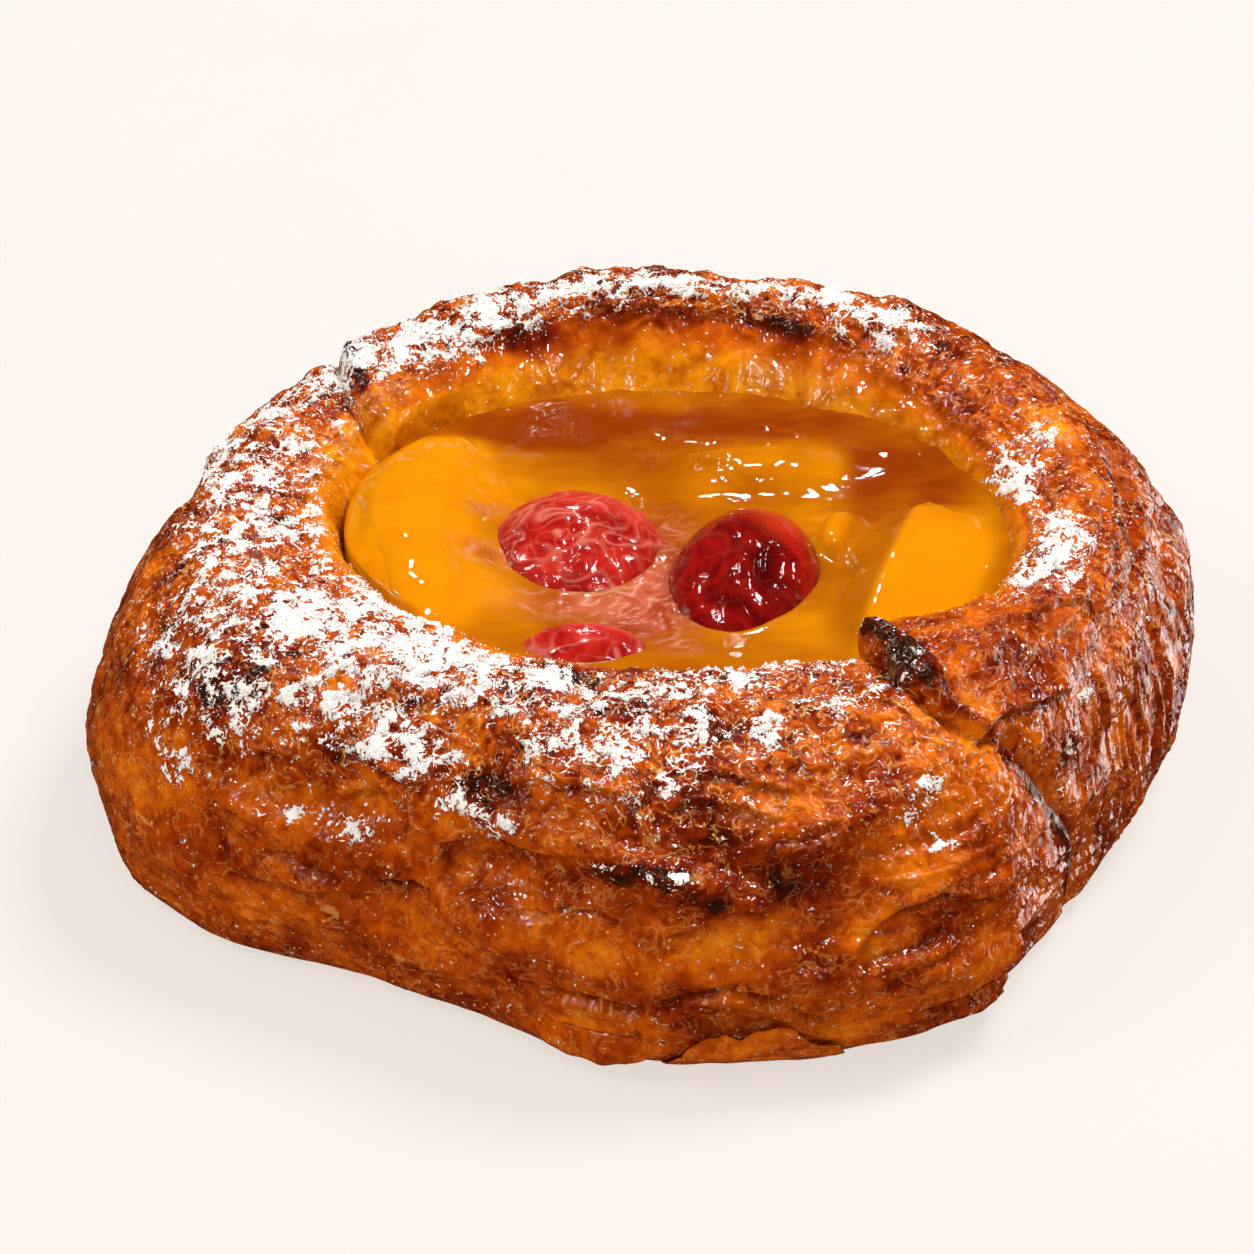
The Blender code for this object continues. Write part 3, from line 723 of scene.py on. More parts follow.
def crust_browning(angle, station, masks):
    """How far each place is baked, from 0, pale gold, to 1, burnt, with painted shade in the creases, the
    seam grooves and below the burnt corner, and painted light and shade on the crumbs and grain.
    """
    places = skin_places(angle, station)
    level = np.interp(station, *np.transpose(BAKED_ALONG))
    at_angle = angle + 1.7 * waves(places, 2.6, 91.0)
    at_station = station + 0.17 * waves(places, 2.2, 93.0)
    level -= spots(GOLDEN, at_angle, at_station)
    patchy = mixed_waves(places, (0.26, 9.0, 41.0), (0.20, 4.2, 43.0), (0.08, 1.9, 47.0))
    # Painted light and shade: raised crumbs and grain are paler, the dips between them darker.
    level += patchy - CRUMBS_PALER * masks["crumbs"] - GRAIN_PALER * masks["grain"]
    level -= 0.70 * np.maximum(level - EVENLY_BAKED, 0.0)
    # Browned spots, with one of painted shade in the hole by the left slice, and painted shade in the
    # creases.
    level += spots(BROWNED_AND_SHADED, at_angle, at_station) + CREASE_DARKER * masks["creases"]
    # Painted shade in the grooves along the seams, where one arm lies over the other.
    for seam in (FRONT_SEAM, BACK_SEAM):
        line = bell(past_seam(seam, angle, station), 0.9)
        level += GROOVE_DARKER * line * between(station, 1.2, 2.0) * (1.0 - between(station, 8.6, 9.2))
    # The burnt corner of the top arm, and painted shade on the arm below it, under the flap.
    corner = bell(past_seam(FRONT_SEAM, angle, station) + 0.6, 1.9)
    level += CORNER_DARKER * corner * between(station, 5.8, 6.6) * (1.0 - between(station, 9.3, 9.6))
    return np.clip(level, 0.0, 1.0)


def sugar_level(angle, station, facing, masks):
    """How thickly sugar has fallen at each place, uneven in small clumps; it shows from about 0.5."""
    places = skin_places(angle, station)
    fallen = spots(SUGARED, angle, station)
    clumps = mixed_waves(places, (0.50, 3.6, 51.0), (0.52, 1.9, 53.0), (0.46, 1.1, 57.0))
    upward = between(facing[:, 2], -0.30, 0.20)
    held = 0.10 * masks["crumbs"]
    return (0.50 * np.minimum(fallen, 1.3) * upward + clumps + held) * between(fallen, 0.05, 0.25)


# Pieces and the crust

def shown(name, mesh, surface, slot, *nodes):
    """A piece from a mesh, with its material, which rides on the danish and stands for the CAD nodes."""
    mesh.materials.append(surface)
    mesh.shade_smooth()
    piece = bpy.data.objects.new(name, mesh)
    bpy.context.scene.collection.objects.link(piece)
    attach(piece, BODY)
    if nodes:
        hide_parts(*nodes)
    return piece


def mesh_of(name, points, faces, **values):
    """A mesh from points and faces, with named values at the points for its material."""
    mesh = bpy.data.meshes.new(name)
    corners = faces.tolist() if isinstance(faces, np.ndarray) else faces
    mesh.from_pydata(np.asarray(points).tolist(), [], corners)
    for key, value in values.items():
        attribute = mesh.attributes.new(key, "FLOAT", "POINT")
        attribute.data.foreach_set("value", np.asarray(value, np.float32))
    mesh.update()
    return mesh


def grid_faces(rows, columns, closed=False):
    """Quads between neighbouring points of a grid stored row by row."""
    across = np.arange(columns if closed else columns - 1)
    start = (np.arange(rows - 1)[:, None] * columns + across).ravel()
    after = (np.arange(rows - 1)[:, None] * columns + (across + 1) % columns).ravel()
    return np.stack([start, after, after + columns, start + columns], 1)


def beside_seams(column, station):
    """The true angle of a column at a profile station: near a seam the columns run along it."""
    angle = column.copy()
    for seam in (FRONT_SEAM, BACK_SEAM):
        home = seam_angle(seam, CREST)
        shift = seam_angle(seam, station) - home
        angle = angle + shift * bell(wrapped(column - home), SEAM_REACH)
    return angle


def arm_skin(first, last, sides):
    """The skin of one arm, with ends tucked under: its points, facing, angles, stations and masks."""
    columns = np.linspace(first - TUCK_ANGLE, last + TUCK_ANGLE, ARM_COLUMNS)
    lengths = np.linspace(0.0, length_up(LOWEST_IN_WELL), ARM_ROWS)
    stations = np.interp(lengths, TYPICAL_LENGTHS, TYPICAL_STATIONS)
    column = np.tile(columns, ARM_ROWS)
    station = np.repeat(stations, ARM_COLUMNS)
    angle = beside_seams(column, station)
    points, facing = smooth_skin(angle, station)
    own_relief, masks = crust_relief(angle, station)
    relief = dough_relief(angle, station) + own_relief
    for seam, side in sides:
        relief += seam_relief(seam, side, angle, station)
    beyond = np.maximum(np.maximum(first - column, column - last), 0.0) / TUCK_ANGLE
    relief -= TUCK_DEPTH * (1.0 - np.sqrt(np.maximum(0.0, 1.0 - beyond ** 1.5)))
    relief *= np.interp(station, (0.3, 1.3, 9.8, 10.2), (0.0, 1.0, 1.0, 0.0))
    return points + facing * relief[:, None], facing, angle, station, masks


def make_arm(name, first, last, sides, surface):
    """One arm of crust with its flat foot, and for the sugar the places and thickness of the dust on it."""
    points, facing, angle, station, masks = arm_skin(first, last, sides)
    sugar = sugar_level(angle, station, facing, masks)
    cover = between(sugar, *SUGAR_SHOWS)
    points = points + facing * (SUGAR_THICKNESS * cover)[:, None]
    points[:, 2] = np.maximum(points[:, 2], 0.0)
    points[:, 2] -= TOP_SQUEEZE * np.maximum(points[:, 2] - TOP_FREE, 0.0)
    hub = len(points)
    foot = [(k + 1, k, hub) for k in range(ARM_COLUMNS - 1)]
    faces = grid_faces(ARM_ROWS, ARM_COLUMNS).tolist() + foot
    values = {key: masks[key] for key in ("strands", "coarse", "soaked")}
    values.update(browning=crust_browning(angle, station, masks), sugar=sugar)
    values = {key: np.append(value, 0.5) for key, value in values.items()}
    mesh = mesh_of(name, np.vstack([points, np.zeros(3)]), faces, **values)
    shown(name, mesh, surface, "baked_crust", "pastry")
    return points, facing, cover, spots(SUGARED, angle, station)


def make_crust(surface):
    """The two arms of crust, and for the sugar the places and thickness of the dust on them."""
    front, back = seam_angle(FRONT_SEAM, CREST), seam_angle(BACK_SEAM, CREST)
    arms = (
        ("crust_right_arm", front, back, ((FRONT_SEAM, 1.0), (BACK_SEAM, -1.0))),
        ("crust_left_arm", back, front + 360.0, ((BACK_SEAM, 1.0), (FRONT_SEAM, -1.0))),
    )
    dusted = [make_arm(*row, surface) for row in arms]
    return [np.concatenate(values) for values in zip(*dusted)]


# Sugar: each kind has its piece's name, how often its round solid is divided, how many there are, the
# smallest and largest size, and how far they stand off the crust as a share of their size

SUGAR_KINDS = (
    ("sugar_clumps", 1, 8000, (0.06 * MM, 0.19 * MM), 0.35),
    ("sugar_grains", 0, 24500, (0.05 * MM, 0.11 * MM), 0.5),
)
# A power by which small ones are more common than large ones, and how far they lie off their places
SMALL_ONES = 2.2
SUGAR_SPREAD = 0.12 * MM
SUGAR_SEED = 7
# How likely a grain is outside the dusting, as a share: near it, and on any skin that faces up
BESIDE_DUST, ANYWHERE = 0.30, 0.015
# The largest turn of a grain, in radians
ANY_TURN = 6.283


def solid_shape(subdivisions):
    """The points and faces of a small round solid, or of an eight-sided one where subdivisions is 0."""
    builder = bmesh.new()
    if subdivisions:
        bmesh.ops.create_icosphere(builder, subdivisions=subdivisions, radius=1.0)
    else:
        for point in ((1, 0, 0), (0, 1, 0), (-1, 0, 0), (0, -1, 0), (0, 0, 1), (0, 0, -1)):
            builder.verts.new(point)
        corners = list(builder.verts)
        for k in range(4):
            builder.faces.new((corners[k], corners[(k + 1) % 4], corners[4]))
            builder.faces.new((corners[(k + 1) % 4], corners[k], corners[5]))
    builder.verts.index_update()
    points = np.array([vert.co for vert in builder.verts])
    faces = np.array([[vert.index for vert in face.verts] for face in builder.faces])
    builder.free()
    return points, faces


def scatter(name, shape, count, sizes, lift, crust, weights, surface, chance):
    """One piece of many small solids, laid on the crust more often where the weight is high."""
    points, facing = crust
    picked = chance.choice(len(points), count, p=weights / weights.sum())
    size = sizes[0] + (sizes[1] - sizes[0]) * chance.random(count) ** SMALL_ONES
    place = points[picked] + facing[picked] * (lift * size)[:, None]
    place += chance.normal(0.0, SUGAR_SPREAD, (count, 3))
    corners, faces = shape
    turns = np.array([Euler(chance.random(3) * ANY_TURN).to_matrix() for _ in range(count)])
    bumpy = corners[None] * (0.75 + 0.5 * chance.random((count, len(corners), 1)))
    bumpy *= (0.7 + 0.6 * chance.random((count, 1, 3)))
    solids = np.einsum("nij,nkj->nki", turns, bumpy) * size[:, None, None] + place[:, None]
    starts = np.arange(count)[:, None, None] * len(corners)
    mesh = mesh_of(name, solids.reshape(-1, 3), (faces[None] + starts).reshape(-1, 3))
    return shown(name, mesh, surface, "baked_crust")


def make_sugar(dusted, surface):
    """Clumps where the dust lies thick, and fine grains over the whole dusting."""
    points, facing, cover, fallen = dusted
    chance = np.random.default_rng(SUGAR_SEED)
    upward = between(facing[:, 2], 0.1, 0.6)
    thick = np.clip(cover, 0.0, 1.0) ** 1.5 + 1e-9
    thin = cover + BESIDE_DUST * np.clip(fallen, 0.0, 1.0) * upward + ANYWHERE * upward
    for (name, subdivisions, count, sizes, lift), weights in zip(SUGAR_KINDS, (thick, thin)):
        shape = solid_shape(subdivisions)
        scatter(name, shape, count, sizes, lift, (points, facing), weights, surface, chance)


# Fruit: centre and half sizes in millimetres and turns in degrees about X, Y and Z, as in the solids. A berry
# also has how crinkled it is and its shares of dark and pale skin. A slice's length is its own Y, and its
# bend is how far its ends swing towards its own +X, as a share of its half width

BERRIES = (
    ("berry_left", (-6.7, -2.0, 26.4), (9.9, 10.4, 6.6), (0.0, 4.0, 0.0), 0.45, 0.30, 1.0),
    ("berry_right", (11.0, -9.2, 26.4), (8.4, 11.8, 8.4), (6.0, 0.0, -14.0), 0.16, 0.40, 0.12),
    ("berry_front", (-6.4, -23.2, 25.2), (8.4, 5.2, 6.0), (0.0, -3.0, 2.0), 0.22, 0.16, 0.8),
)
SLICES = (
    ("peach_left", "dome", (-24.2, -1.4, 26.3), (7.6, 20.0, 7.1), (0.0, 5.0, -2.0), 0.55),
    ("peach_back", "dome", (12.2, 13.8, 24.4), (5.4, 10.8, 5.8), (0.0, 4.0, -84.0), 0.15),
    ("peach_small", "dome", (21.3, -0.6, 28.0), (1.9, 3.8, 2.2), (0.0, 0.0, -16.0), 0.0),
    ("peach_right", "ridge", (28.3, -11.8, 25.4), (9.4, 15.6, 7.6), (3.0, 0.0, -16.0), 0.0),
)
SECTIONS = {
    "dome": ((0.0, 1.0), (0.48, 0.92), (0.83, 0.64), (1.0, 0.1), (0.82, -0.62), (0.4, -1.0),
             (-0.4, -1.0), (-0.82, -0.62), (-1.0, 0.1), (-0.83, 0.64), (-0.48, 0.92)),
    "ridge": ((-0.2, 1.0), (0.2, 0.9), (0.62, 0.74), (0.94, 0.44), (0.96, -0.1), (0.7, -0.72), (0.3, -1.0),
              (-0.3, -1.0), (-0.6, -0.6), (-0.86, 0.05), (-0.82, 0.34), (-0.5, 0.7)),
}
ROUNDINGS = {"dome": 3, "ridge": 0}
# The hollow in the right berry, in millimetres, which is painted darker as shade, and the side of the berries
# towards the lamp, which is painted lighter: painted light
HOLLOW_AT = np.array((13.4, -13.0, 33.5))
HOLLOW_HALF = np.array((1.7, 4.6, 4.5))
HOLLOW_DEPTH = 1.6
LIT_SIDE = np.array((0.42, 0.55, 0.72))
BERRY_ROWS, BERRY_COLUMNS = 150, 230
SLICE_ROWS, SLICE_COLUMNS = 110, 120
WALL_GAP = 0.6 * MM
# How much narrower a berry is in front, and in millimetres how high its folds, veins and swellings are and
# how far it is sunk, and how high a slice's fibres, swellings and grain are
BERRY_NARROWS = 0.14
BERRY_FOLDS, BERRY_VEINS, BERRY_SWELLS, BERRY_SUNK = 0.35, 0.25, 0.3, 0.25
SLICE_FIBRES, SLICE_SWELLS, SLICE_GRAIN = 0.07, 0.16, 0.03


def wall_radius(angle, height):
    """How far out the wall of the well is at each angle and height."""
    station = np.linspace(LAST, LIP, 30)
    reach = np.zeros(len(angle))
    steps = np.array([smooth_skin(angle, np.full(len(angle), at))[0] for at in station])
    radii = np.hypot(steps[:, :, 0], steps[:, :, 1])
    for k in range(len(angle)):
        reach[k] = np.interp(height[k], steps[:, k, 2], radii[:, k])
    return reach


def laid(unit, centre, half, turn):
    """Unit points brought to their size and place in the well, and pressed in from its wall."""
    rotation = np.array(Euler([math.radians(value) for value in turn]).to_matrix())
    points = (unit * np.array(half)) @ rotation.T * MM + np.array(centre) * MM
    angle = np.degrees(np.arctan2(points[:, 1], points[:, 0]))
    room = wall_radius(angle, points[:, 2]) - WALL_GAP
    shrink = np.minimum(1.0, room / np.maximum(np.hypot(points[:, 0], points[:, 1]), 1e-6))
    points[:, :2] *= shrink[:, None]
    return points


def outward(points, faces):
    """The way each point of a closed form faces."""
    across = points[faces[:, 2]] - points[faces[:, 0]]
    down = points[faces[:, 3]] - points[faces[:, 1]]
    face = np.cross(across, down)
    total = np.zeros_like(points)
    for k in range(4):
        np.add.at(total, faces[:, k], face)
    return total / np.maximum(np.linalg.norm(total, axis=1), 1e-12)[:, None]


def berry_form(centre, half, turn):
    """A soft round form, blunt at the back and narrower in front: its points and faces."""
    polar = np.linspace(0.001, math.pi - 0.001, BERRY_ROWS)
    round_it = np.linspace(0.0, 2 * math.pi, BERRY_COLUMNS, endpoint=False)
    t, p = np.repeat(polar, BERRY_COLUMNS), np.tile(round_it, BERRY_ROWS)
    unit = np.stack([np.sin(t) * np.cos(p), np.sin(t) * np.sin(p), np.cos(t)], 1)
    narrow = 1.0 + BERRY_NARROWS * np.minimum(0.0, unit[:, 1])
    unit[:, 0] *= narrow
    unit[:, 2] *= narrow
    return laid(unit, centre, half, turn), grid_faces(BERRY_ROWS, BERRY_COLUMNS, closed=True)[:, ::-1]


def make_berry(name, centre, half, turn, crinkle, dark_share, pale_share, surface):
    """A soft baked berry with a crinkled skin and pale veins, painted shade in any hollow, and painted light
    on the side towards the lamp.
    """
    points, faces = berry_form(centre, half, turn)
    facing = outward(points, faces)
    places = points / MM
    bent = places + 2.0 * three_waves(places, 3.5, (2.0, 5.0, 9.0))
    folds = 1.0 - 2.6 * np.abs(waves(bent, (4.0, 2.4, 2.4), 4.0))
    veins = 0.9 * bell(waves(bent, (4.5, 2.6, 2.6), 13.0), 0.09)
    veins = np.maximum(veins, 0.4 * bell(waves(bent, 1.7, 17.0), 0.06))
    swells = waves(places, 3.0, 23.0)
    relief = crinkle * (BERRY_FOLDS * folds + BERRY_VEINS * veins + BERRY_SWELLS * swells - BERRY_SUNK)
    pale = pale_share * veins * (0.3 + 0.9 * between(waves(places, 6.0, 29.0), -0.3, 0.4))
    dark = dark_share * between(waves(places, 5.0, 31.0), 0.0, 0.5)
    # Painted light: which side faces the lamp, to be painted lighter.
    lit_side = between(facing @ LIT_SIDE, 0.72, 0.98)
    if name == "berry_right":
        off = (places - HOLLOW_AT) / HOLLOW_HALF
        hollow = np.exp(-(off ** 2).sum(1))
        relief -= HOLLOW_DEPTH * hollow
        # The hollow is painted darker: painted shade.
        dark = np.maximum(dark, hollow)
    points = points + facing * (relief * MM)[:, None]
    veins = np.clip(pale, 0.0, 1.0)
    mesh = mesh_of(name + "_fruit", points, faces, veins=veins, dark=dark, lit_side=lit_side)
    return shown(name + "_fruit", mesh, surface, "berry_skin", name)


def section_outline(section):
    """A slice's section as even points round it; a dome's is rounded off."""
    ring = np.array(SECTIONS[section])
    closed = np.vstack([ring, ring[:1]])
    walked = lengths_along(closed)
    at = np.linspace(0.0, walked[-1], SLICE_COLUMNS, endpoint=False)
    outline = np.stack([np.interp(at, walked, closed[:, k]) for k in (0, 1)], 1)
    for _ in range(ROUNDINGS[section]):
        outline = 0.5 * outline + 0.25 * (np.roll(outline, 1, 0) + np.roll(outline, -1, 0))
    return outline


def faces_outward(mesh):
    """Turns every face of a closed mesh outward."""
    builder = bmesh.new()
    builder.from_mesh(mesh)
    bmesh.ops.recalc_face_normals(builder, faces=builder.faces)
    builder.to_mesh(mesh)
    builder.free()


def make_slice(name, section, centre, half, turn, bend, surface):
    """A plump peach slice: one section along its length, rounded ends, a bend, and soft fibres."""
    outline = section_outline(section)
    along = -np.cos(math.pi * np.linspace(0.012, 0.988, SLICE_ROWS))
    swell = (1.0 - np.abs(along) ** 3.2) ** 0.42
    aside = bend * (along * along - 0.4)
    unit = np.stack([
        (outline[None, :, 0] * swell[:, None] + aside[:, None]).ravel(),
        np.repeat(along, SLICE_COLUMNS),
        (outline[None, :, 1] * (0.35 + 0.65 * swell[:, None])).ravel(),
    ], 1)
    hubs = np.array([(bend * 0.6, -1.0, 0.0), (bend * 0.6, 1.0, 0.0)])
    unit_and_hubs = np.vstack([unit, hubs])
    points = laid(unit_and_hubs, centre, half, turn)
    quads = grid_faces(SLICE_ROWS, SLICE_COLUMNS, closed=True)
    places = unit_and_hubs * np.array(half)
    fibres = waves(places, (1.3, 7.0, 1.3), 3.0)
    relief = SLICE_FIBRES * fibres + SLICE_SWELLS * waves(places, 7.0, 6.0)
    relief += SLICE_GRAIN * waves(places, 1.6, 8.0)
    points = points + outward(points, quads) * (relief * MM)[:, None]
    first, last = len(unit), len(unit) + 1
    top = len(unit) - SLICE_COLUMNS
    ends = [(first, (k + 1) % SLICE_COLUMNS, k) for k in range(SLICE_COLUMNS)]
    ends += [(last, top + k, top + (k + 1) % SLICE_COLUMNS) for k in range(SLICE_COLUMNS)]
    mesh = mesh_of(name + "_fruit", points, quads.tolist() + ends, fibres=fibres)
    faces_outward(mesh)
    return shown(name + "_fruit", mesh, surface, "peach_flesh", name)


# Jelly

JELLY_COLUMNS, JELLY_RINGS = 300, 95
INTO_WALL = 0.9 * MM
# How far the jelly's edge climbs all round and more at the right, and how far it dips at the left
CLIMB, CLIMB_RIGHT, DIP_LEFT = 0.7 * MM, 2.6 * MM, 3.4 * MM
# In millimetres: how far from the wall and from a berry it climbs, and how high at a berry; its swell, its
# waves and its ripples over fruit; how high a bubble stands, as a share of its radius, and how deep the ring
# round it is
WALL_REACH, BERRY_REACH, BERRY_CLIMB = 5.5, 0.8, 0.25
SWELL_HIGH, WAVES_HIGH, RIPPLES_HIGH = 0.20, 0.05, 0.15
BUBBLE_HIGH, BUBBLE_RING = 0.45, 0.10

# Places on the jelly, in millimetres: x, y, half widths, amount. A bubble has x, y and its radius
# SHADED darkens the jelly where shade falls on it, below the back wall, behind the right slice and beside the
# fruit: painted shade.
SHADED = (
    (-11.0, 22.5, 9.0, 4.4, 0.80),
    (5.0, 24.5, 12.0, 3.4, 0.44),
    (18.0, 21.0, 9.0, 4.0, 0.34),
    (26.0, 12.0, 4.0, 5.5, 0.55),
    (33.0, 8.0, 4.0, 9.0, 0.35),
    (2.0, 14.0, 7.0, 5.0, 0.18),
    (3.0, -7.0, 2.5, 6.0, 0.25),
    (24.0, 4.5, 4.0, 2.2, 0.30),
    (-1.0, -18.0, 5.0, 2.5, 0.30),
)
LIGHTER = (
    (-19.0, 8.0, 8.0, 10.0, 0.42),
    (-20.0, -9.0, 8.0, 9.0, 0.30),
    (-3.0, 9.5, 8.0, 3.0, 0.18),
    (16.0, 14.5, 5.0, 3.2, 0.25),
    (20.0, 4.0, 5.0, 4.0, 0.30),
    (-18.0, -14.0, 6.0, 7.0, 0.30),
    (18.0, -20.0, 8.0, 5.0, 0.45),
    (34.0, -6.0, 5.0, 8.0, 0.40),
)
BLUSHED = (
    (1.4, -10.0, 3.6, 6.5, 1.00),
    (-6.5, -13.6, 6.5, 2.8, 0.80),
    (0.5, -17.5, 4.5, 3.2, 0.75),
    (3.8, -22.5, 2.4, 1.6, 0.40),
    (-16.2, -6.2, 3.0, 1.8, 0.70),
    (-17.5, 2.5, 1.4, 1.0, 0.55),
    (-15.0, 4.2, 1.0, 0.8, 0.60),
    (3.0, 1.5, 2.6, 3.0, 0.30),
)
BUBBLES = (
    (7.2, 13.6, 1.0),
    (8.6, 12.9, 0.7),
    (6.0, 12.4, 0.6),
    (9.6, 14.2, 0.5),
    (21.2, -4.6, 1.0),
    (3.3, -14.8, 0.8),
    (-19.4, -7.8, 0.7),
    (17.3, 20.4, 1.1),
    (13.9, 22.6, 0.9),
    (-16.2, 0.8, 0.9),
    (30.5, 14.8, 0.6),
    (0.0, 7.3, 1.0),
)
RIPPLES = (
    (-19.0, 0.0, 4.5, 14.0, 2.4),
    (-6.7, -4.0, 9.0, 9.0, -0.7),
    (1.6, 21.4, 1.8, 1.2, 0.48),
    (4.4, 19.6, 1.6, 0.9, 0.34),
    (8.2, 19.8, 3.8, 1.0, 0.38),
    (14.0, 21.4, 2.0, 1.1, 0.42),
    (17.6, 18.6, 2.4, 1.8, 0.62),
    (15.2, 17.6, 1.2, 0.9, 0.32),
    (-1.7, 10.2, 1.2, 0.9, 0.24),
    (23.0, 17.2, 1.0, 0.8, 0.20),
    (26.0, 16.0, 1.4, 0.8, 0.20),
    (28.5, 13.6, 1.0, 0.8, 0.20),
    (-29.8, 10.6, 2.6, 3.2, -4.5),
)
# How softly the jelly rounds over the slices, in millimetres, and how much darker the steep face of the right
# slice is
FILLET = 1.8
WEDGE_SHADE = 0.42


def flat_spots(rows, x, y):
    """The sum of soft spots on the jelly: each row is x, y, half widths and an amount."""
    total = np.zeros_like(x)
    for at_x, at_y, half_x, half_y, amount in rows:
        total += amount * np.exp(-(((x - at_x) / half_x) ** 2) - ((y - at_y) / half_y) ** 2)
    return total


def above_slices(x, y, level, slices):
    """How far the slices stand above the jelly's level, in millimetres; below zero away from them."""
    graph = bpy.context.evaluated_depsgraph_get()
    over = np.full(len(x), -99.0)
    for piece in slices:
        tree = BVHTree.FromObject(piece, graph)
        for k, (px, py, pz) in enumerate(zip(x, y, level)):
            hit = tree.ray_cast(Vector((px, py, 60.0)) * MM, Vector((0.0, 0.0, -1.0)))[0]
            away = -1.3 * tree.find_nearest(Vector((px, py, pz)) * MM)[3] / MM
            over[k] = max(over[k], away if hit is None else max(away, hit.z / MM - pz))
    return over


def wedge_face(x, y):
    """1 on the steep face of the right slice, which is turned away from the light, and 0 elsewhere."""
    _, _, centre, half, turn, _ = SLICES[-1]
    tilt = math.radians(turn[2])
    across = ((x - centre[0]) * math.cos(tilt) + (y - centre[1]) * math.sin(tilt)) / half[0]
    return between(across, -1.15, -0.85) * (1.0 - between(across, -0.34, -0.12))


def from_berries(x, y, level, berries):
    """How far each place on the jelly is from the nearest berry, in millimetres."""
    graph = bpy.context.evaluated_depsgraph_get()
    trees = [BVHTree.FromObject(piece, graph) for piece in berries]
    places = [Vector(place) * MM for place in zip(x, y, level)]
    return np.array([min(tree.find_nearest(place)[3] for tree in trees) / MM for place in places])


def bubble(x, y, at_x, at_y, radius):
    """A bubble under the jelly's skin: a low dome in a shallow ring, in millimetres."""
    off = np.hypot(x - at_x, y - at_y) / radius
    dome = BUBBLE_HIGH * radius * np.sqrt(np.maximum(0.0, 1.0 - off * off))
    return dome - BUBBLE_RING * bell(off - 1.15, 0.25)


def jelly_grid():
    """The jelly as a flat grid with its edge in the well's wall, and each point's share of the way out."""
    columns = np.linspace(0.0, 360.0, JELLY_COLUMNS, endpoint=False)
    heights = profile_points(columns)[1]
    edge_height = JELLY_LEVEL + CLIMB_RIGHT * near_angle(columns, JELLY_CLIMBS, power=2) + CLIMB
    edge_height -= DIP_LEFT * near_angle(columns, JELLY_DIPS)
    edge_station = LIP + (heights[9] - edge_height) / (heights[9] - heights[10])
    skin, facing = smooth_skin(columns, edge_station)
    relief = dough_relief(columns, edge_station) - INTO_WALL
    edge = skin + facing * relief[:, None]
    shares = np.linspace(0.004, 1.0, JELLY_RINGS)
    grid = edge[None] * np.stack([shares, shares, np.ones_like(shares)], 1)[:, None]
    return grid.reshape(-1, 3), np.repeat(shares, JELLY_COLUMNS)


def calm_level(points, share, x, y, flat):
    """The jelly's height in millimetres without the fruit: nearly level, and climbing at the wall."""
    level = JELLY_LEVEL / MM + SWELL_HIGH * np.sin(x / 6.5 + 0.8) * np.cos(y / 5.0)
    level += SWELL_HIGH * waves(flat, (7.0, 4.5, 1.0), 3.0) + WAVES_HIGH * waves(flat, 2.6, 6.0)
    reach = np.hypot(points[:, 0], points[:, 1]) / MM
    to_wall = np.maximum(0.0, (1.0 / share - 1.0) * reach)
    climb = bell(to_wall, WALL_REACH, 1.4)
    return level * (1.0 - climb) + points[:, 2] / MM * climb


def jelly_colours(x, y, flat, over):
    """How deep and dark the jelly looks, with painted shade where shade falls and on the right slice's steep
    face, how pink it is beside the berries, and the pale membranes there.
    """
    sunk = between(x, -12.0, -6.0) * (1.0 - between(x, 17.0, 22.0))
    peach = between(over, -3.5, 0.8) * (1.0 - 0.70 * sunk)
    swirled = flat + 2.0 * waves(flat, 5.0, 2.0)[:, None]
    uneven = 0.22 * waves(flat, 6.0, 15.0) + 0.14 * waves(swirled, (5.0, 1.4, 1.0), 19.0)
    # Painted shade: the shaded places and the right slice's steep face darken the jelly.
    depth_and_shade = 0.60 - 0.52 * peach + flat_spots(SHADED, x, y) - flat_spots(LIGHTER, x, y) * (1.0 - 0.8 * peach)
    depth_and_shade += uneven * (1.0 - 0.5 * peach) + WEDGE_SHADE * wedge_face(x, y) * peach
    bent = flat + 2.5 * waves(flat, 4.0, 25.0)[:, None]
    blush = flat_spots(BLUSHED, x, y) * (1.0 + 0.35 * waves(bent, (2.6, 1.3, 1.0), 27.0))
    membrane = bell(waves(bent, (4.0, 2.2, 1.0), 37.0), 0.07) * np.clip(1.6 * blush, 0.0, 1.0)
    return {"depth_and_shade": np.clip(depth_and_shade, 0.0, 1.0), "blush": np.clip(blush, 0.0, 1.0), "membrane": membrane}


def make_jelly(berries, slices, surface):
    """The jelly's top: it climbs the wall and the fruit, ripples, and shows what lies under it."""
    points, share = jelly_grid()
    x, y = points[:, 0] / MM, points[:, 1] / MM
    flat = np.stack([x, y, np.zeros_like(x)], 1)
    level = calm_level(points, share, x, y, flat)
    level += flat_spots(RIPPLES, x, y)
    over = above_slices(x, y, level, slices)
    filmed = between(x + 0.25 * y, -35.0, -29.0)
    fillet = FILLET * (0.25 + 0.75 * filmed)
    level += 0.5 * (over + np.sqrt(over ** 2 + fillet ** 2)) - 1.2 * (1.0 - filmed) * between(over, 0.2, 2.0)
    level += RIPPLES_HIGH * between(over, -4.0, -1.0) * waves(flat, 1.9, 9.0)
    level += BERRY_CLIMB * np.exp(-from_berries(x, y, level, berries) / BERRY_REACH)
    for row in BUBBLES:
        level += bubble(x, y, *row)
    points[:, 2] = level * MM
    faces = grid_faces(JELLY_RINGS, JELLY_COLUMNS, closed=True)[:, ::-1]
    mesh = mesh_of("jelly", points, faces, **jelly_colours(x, y, flat, over))
    return shown("jelly", mesh, surface, "amber_jelly", "filling")


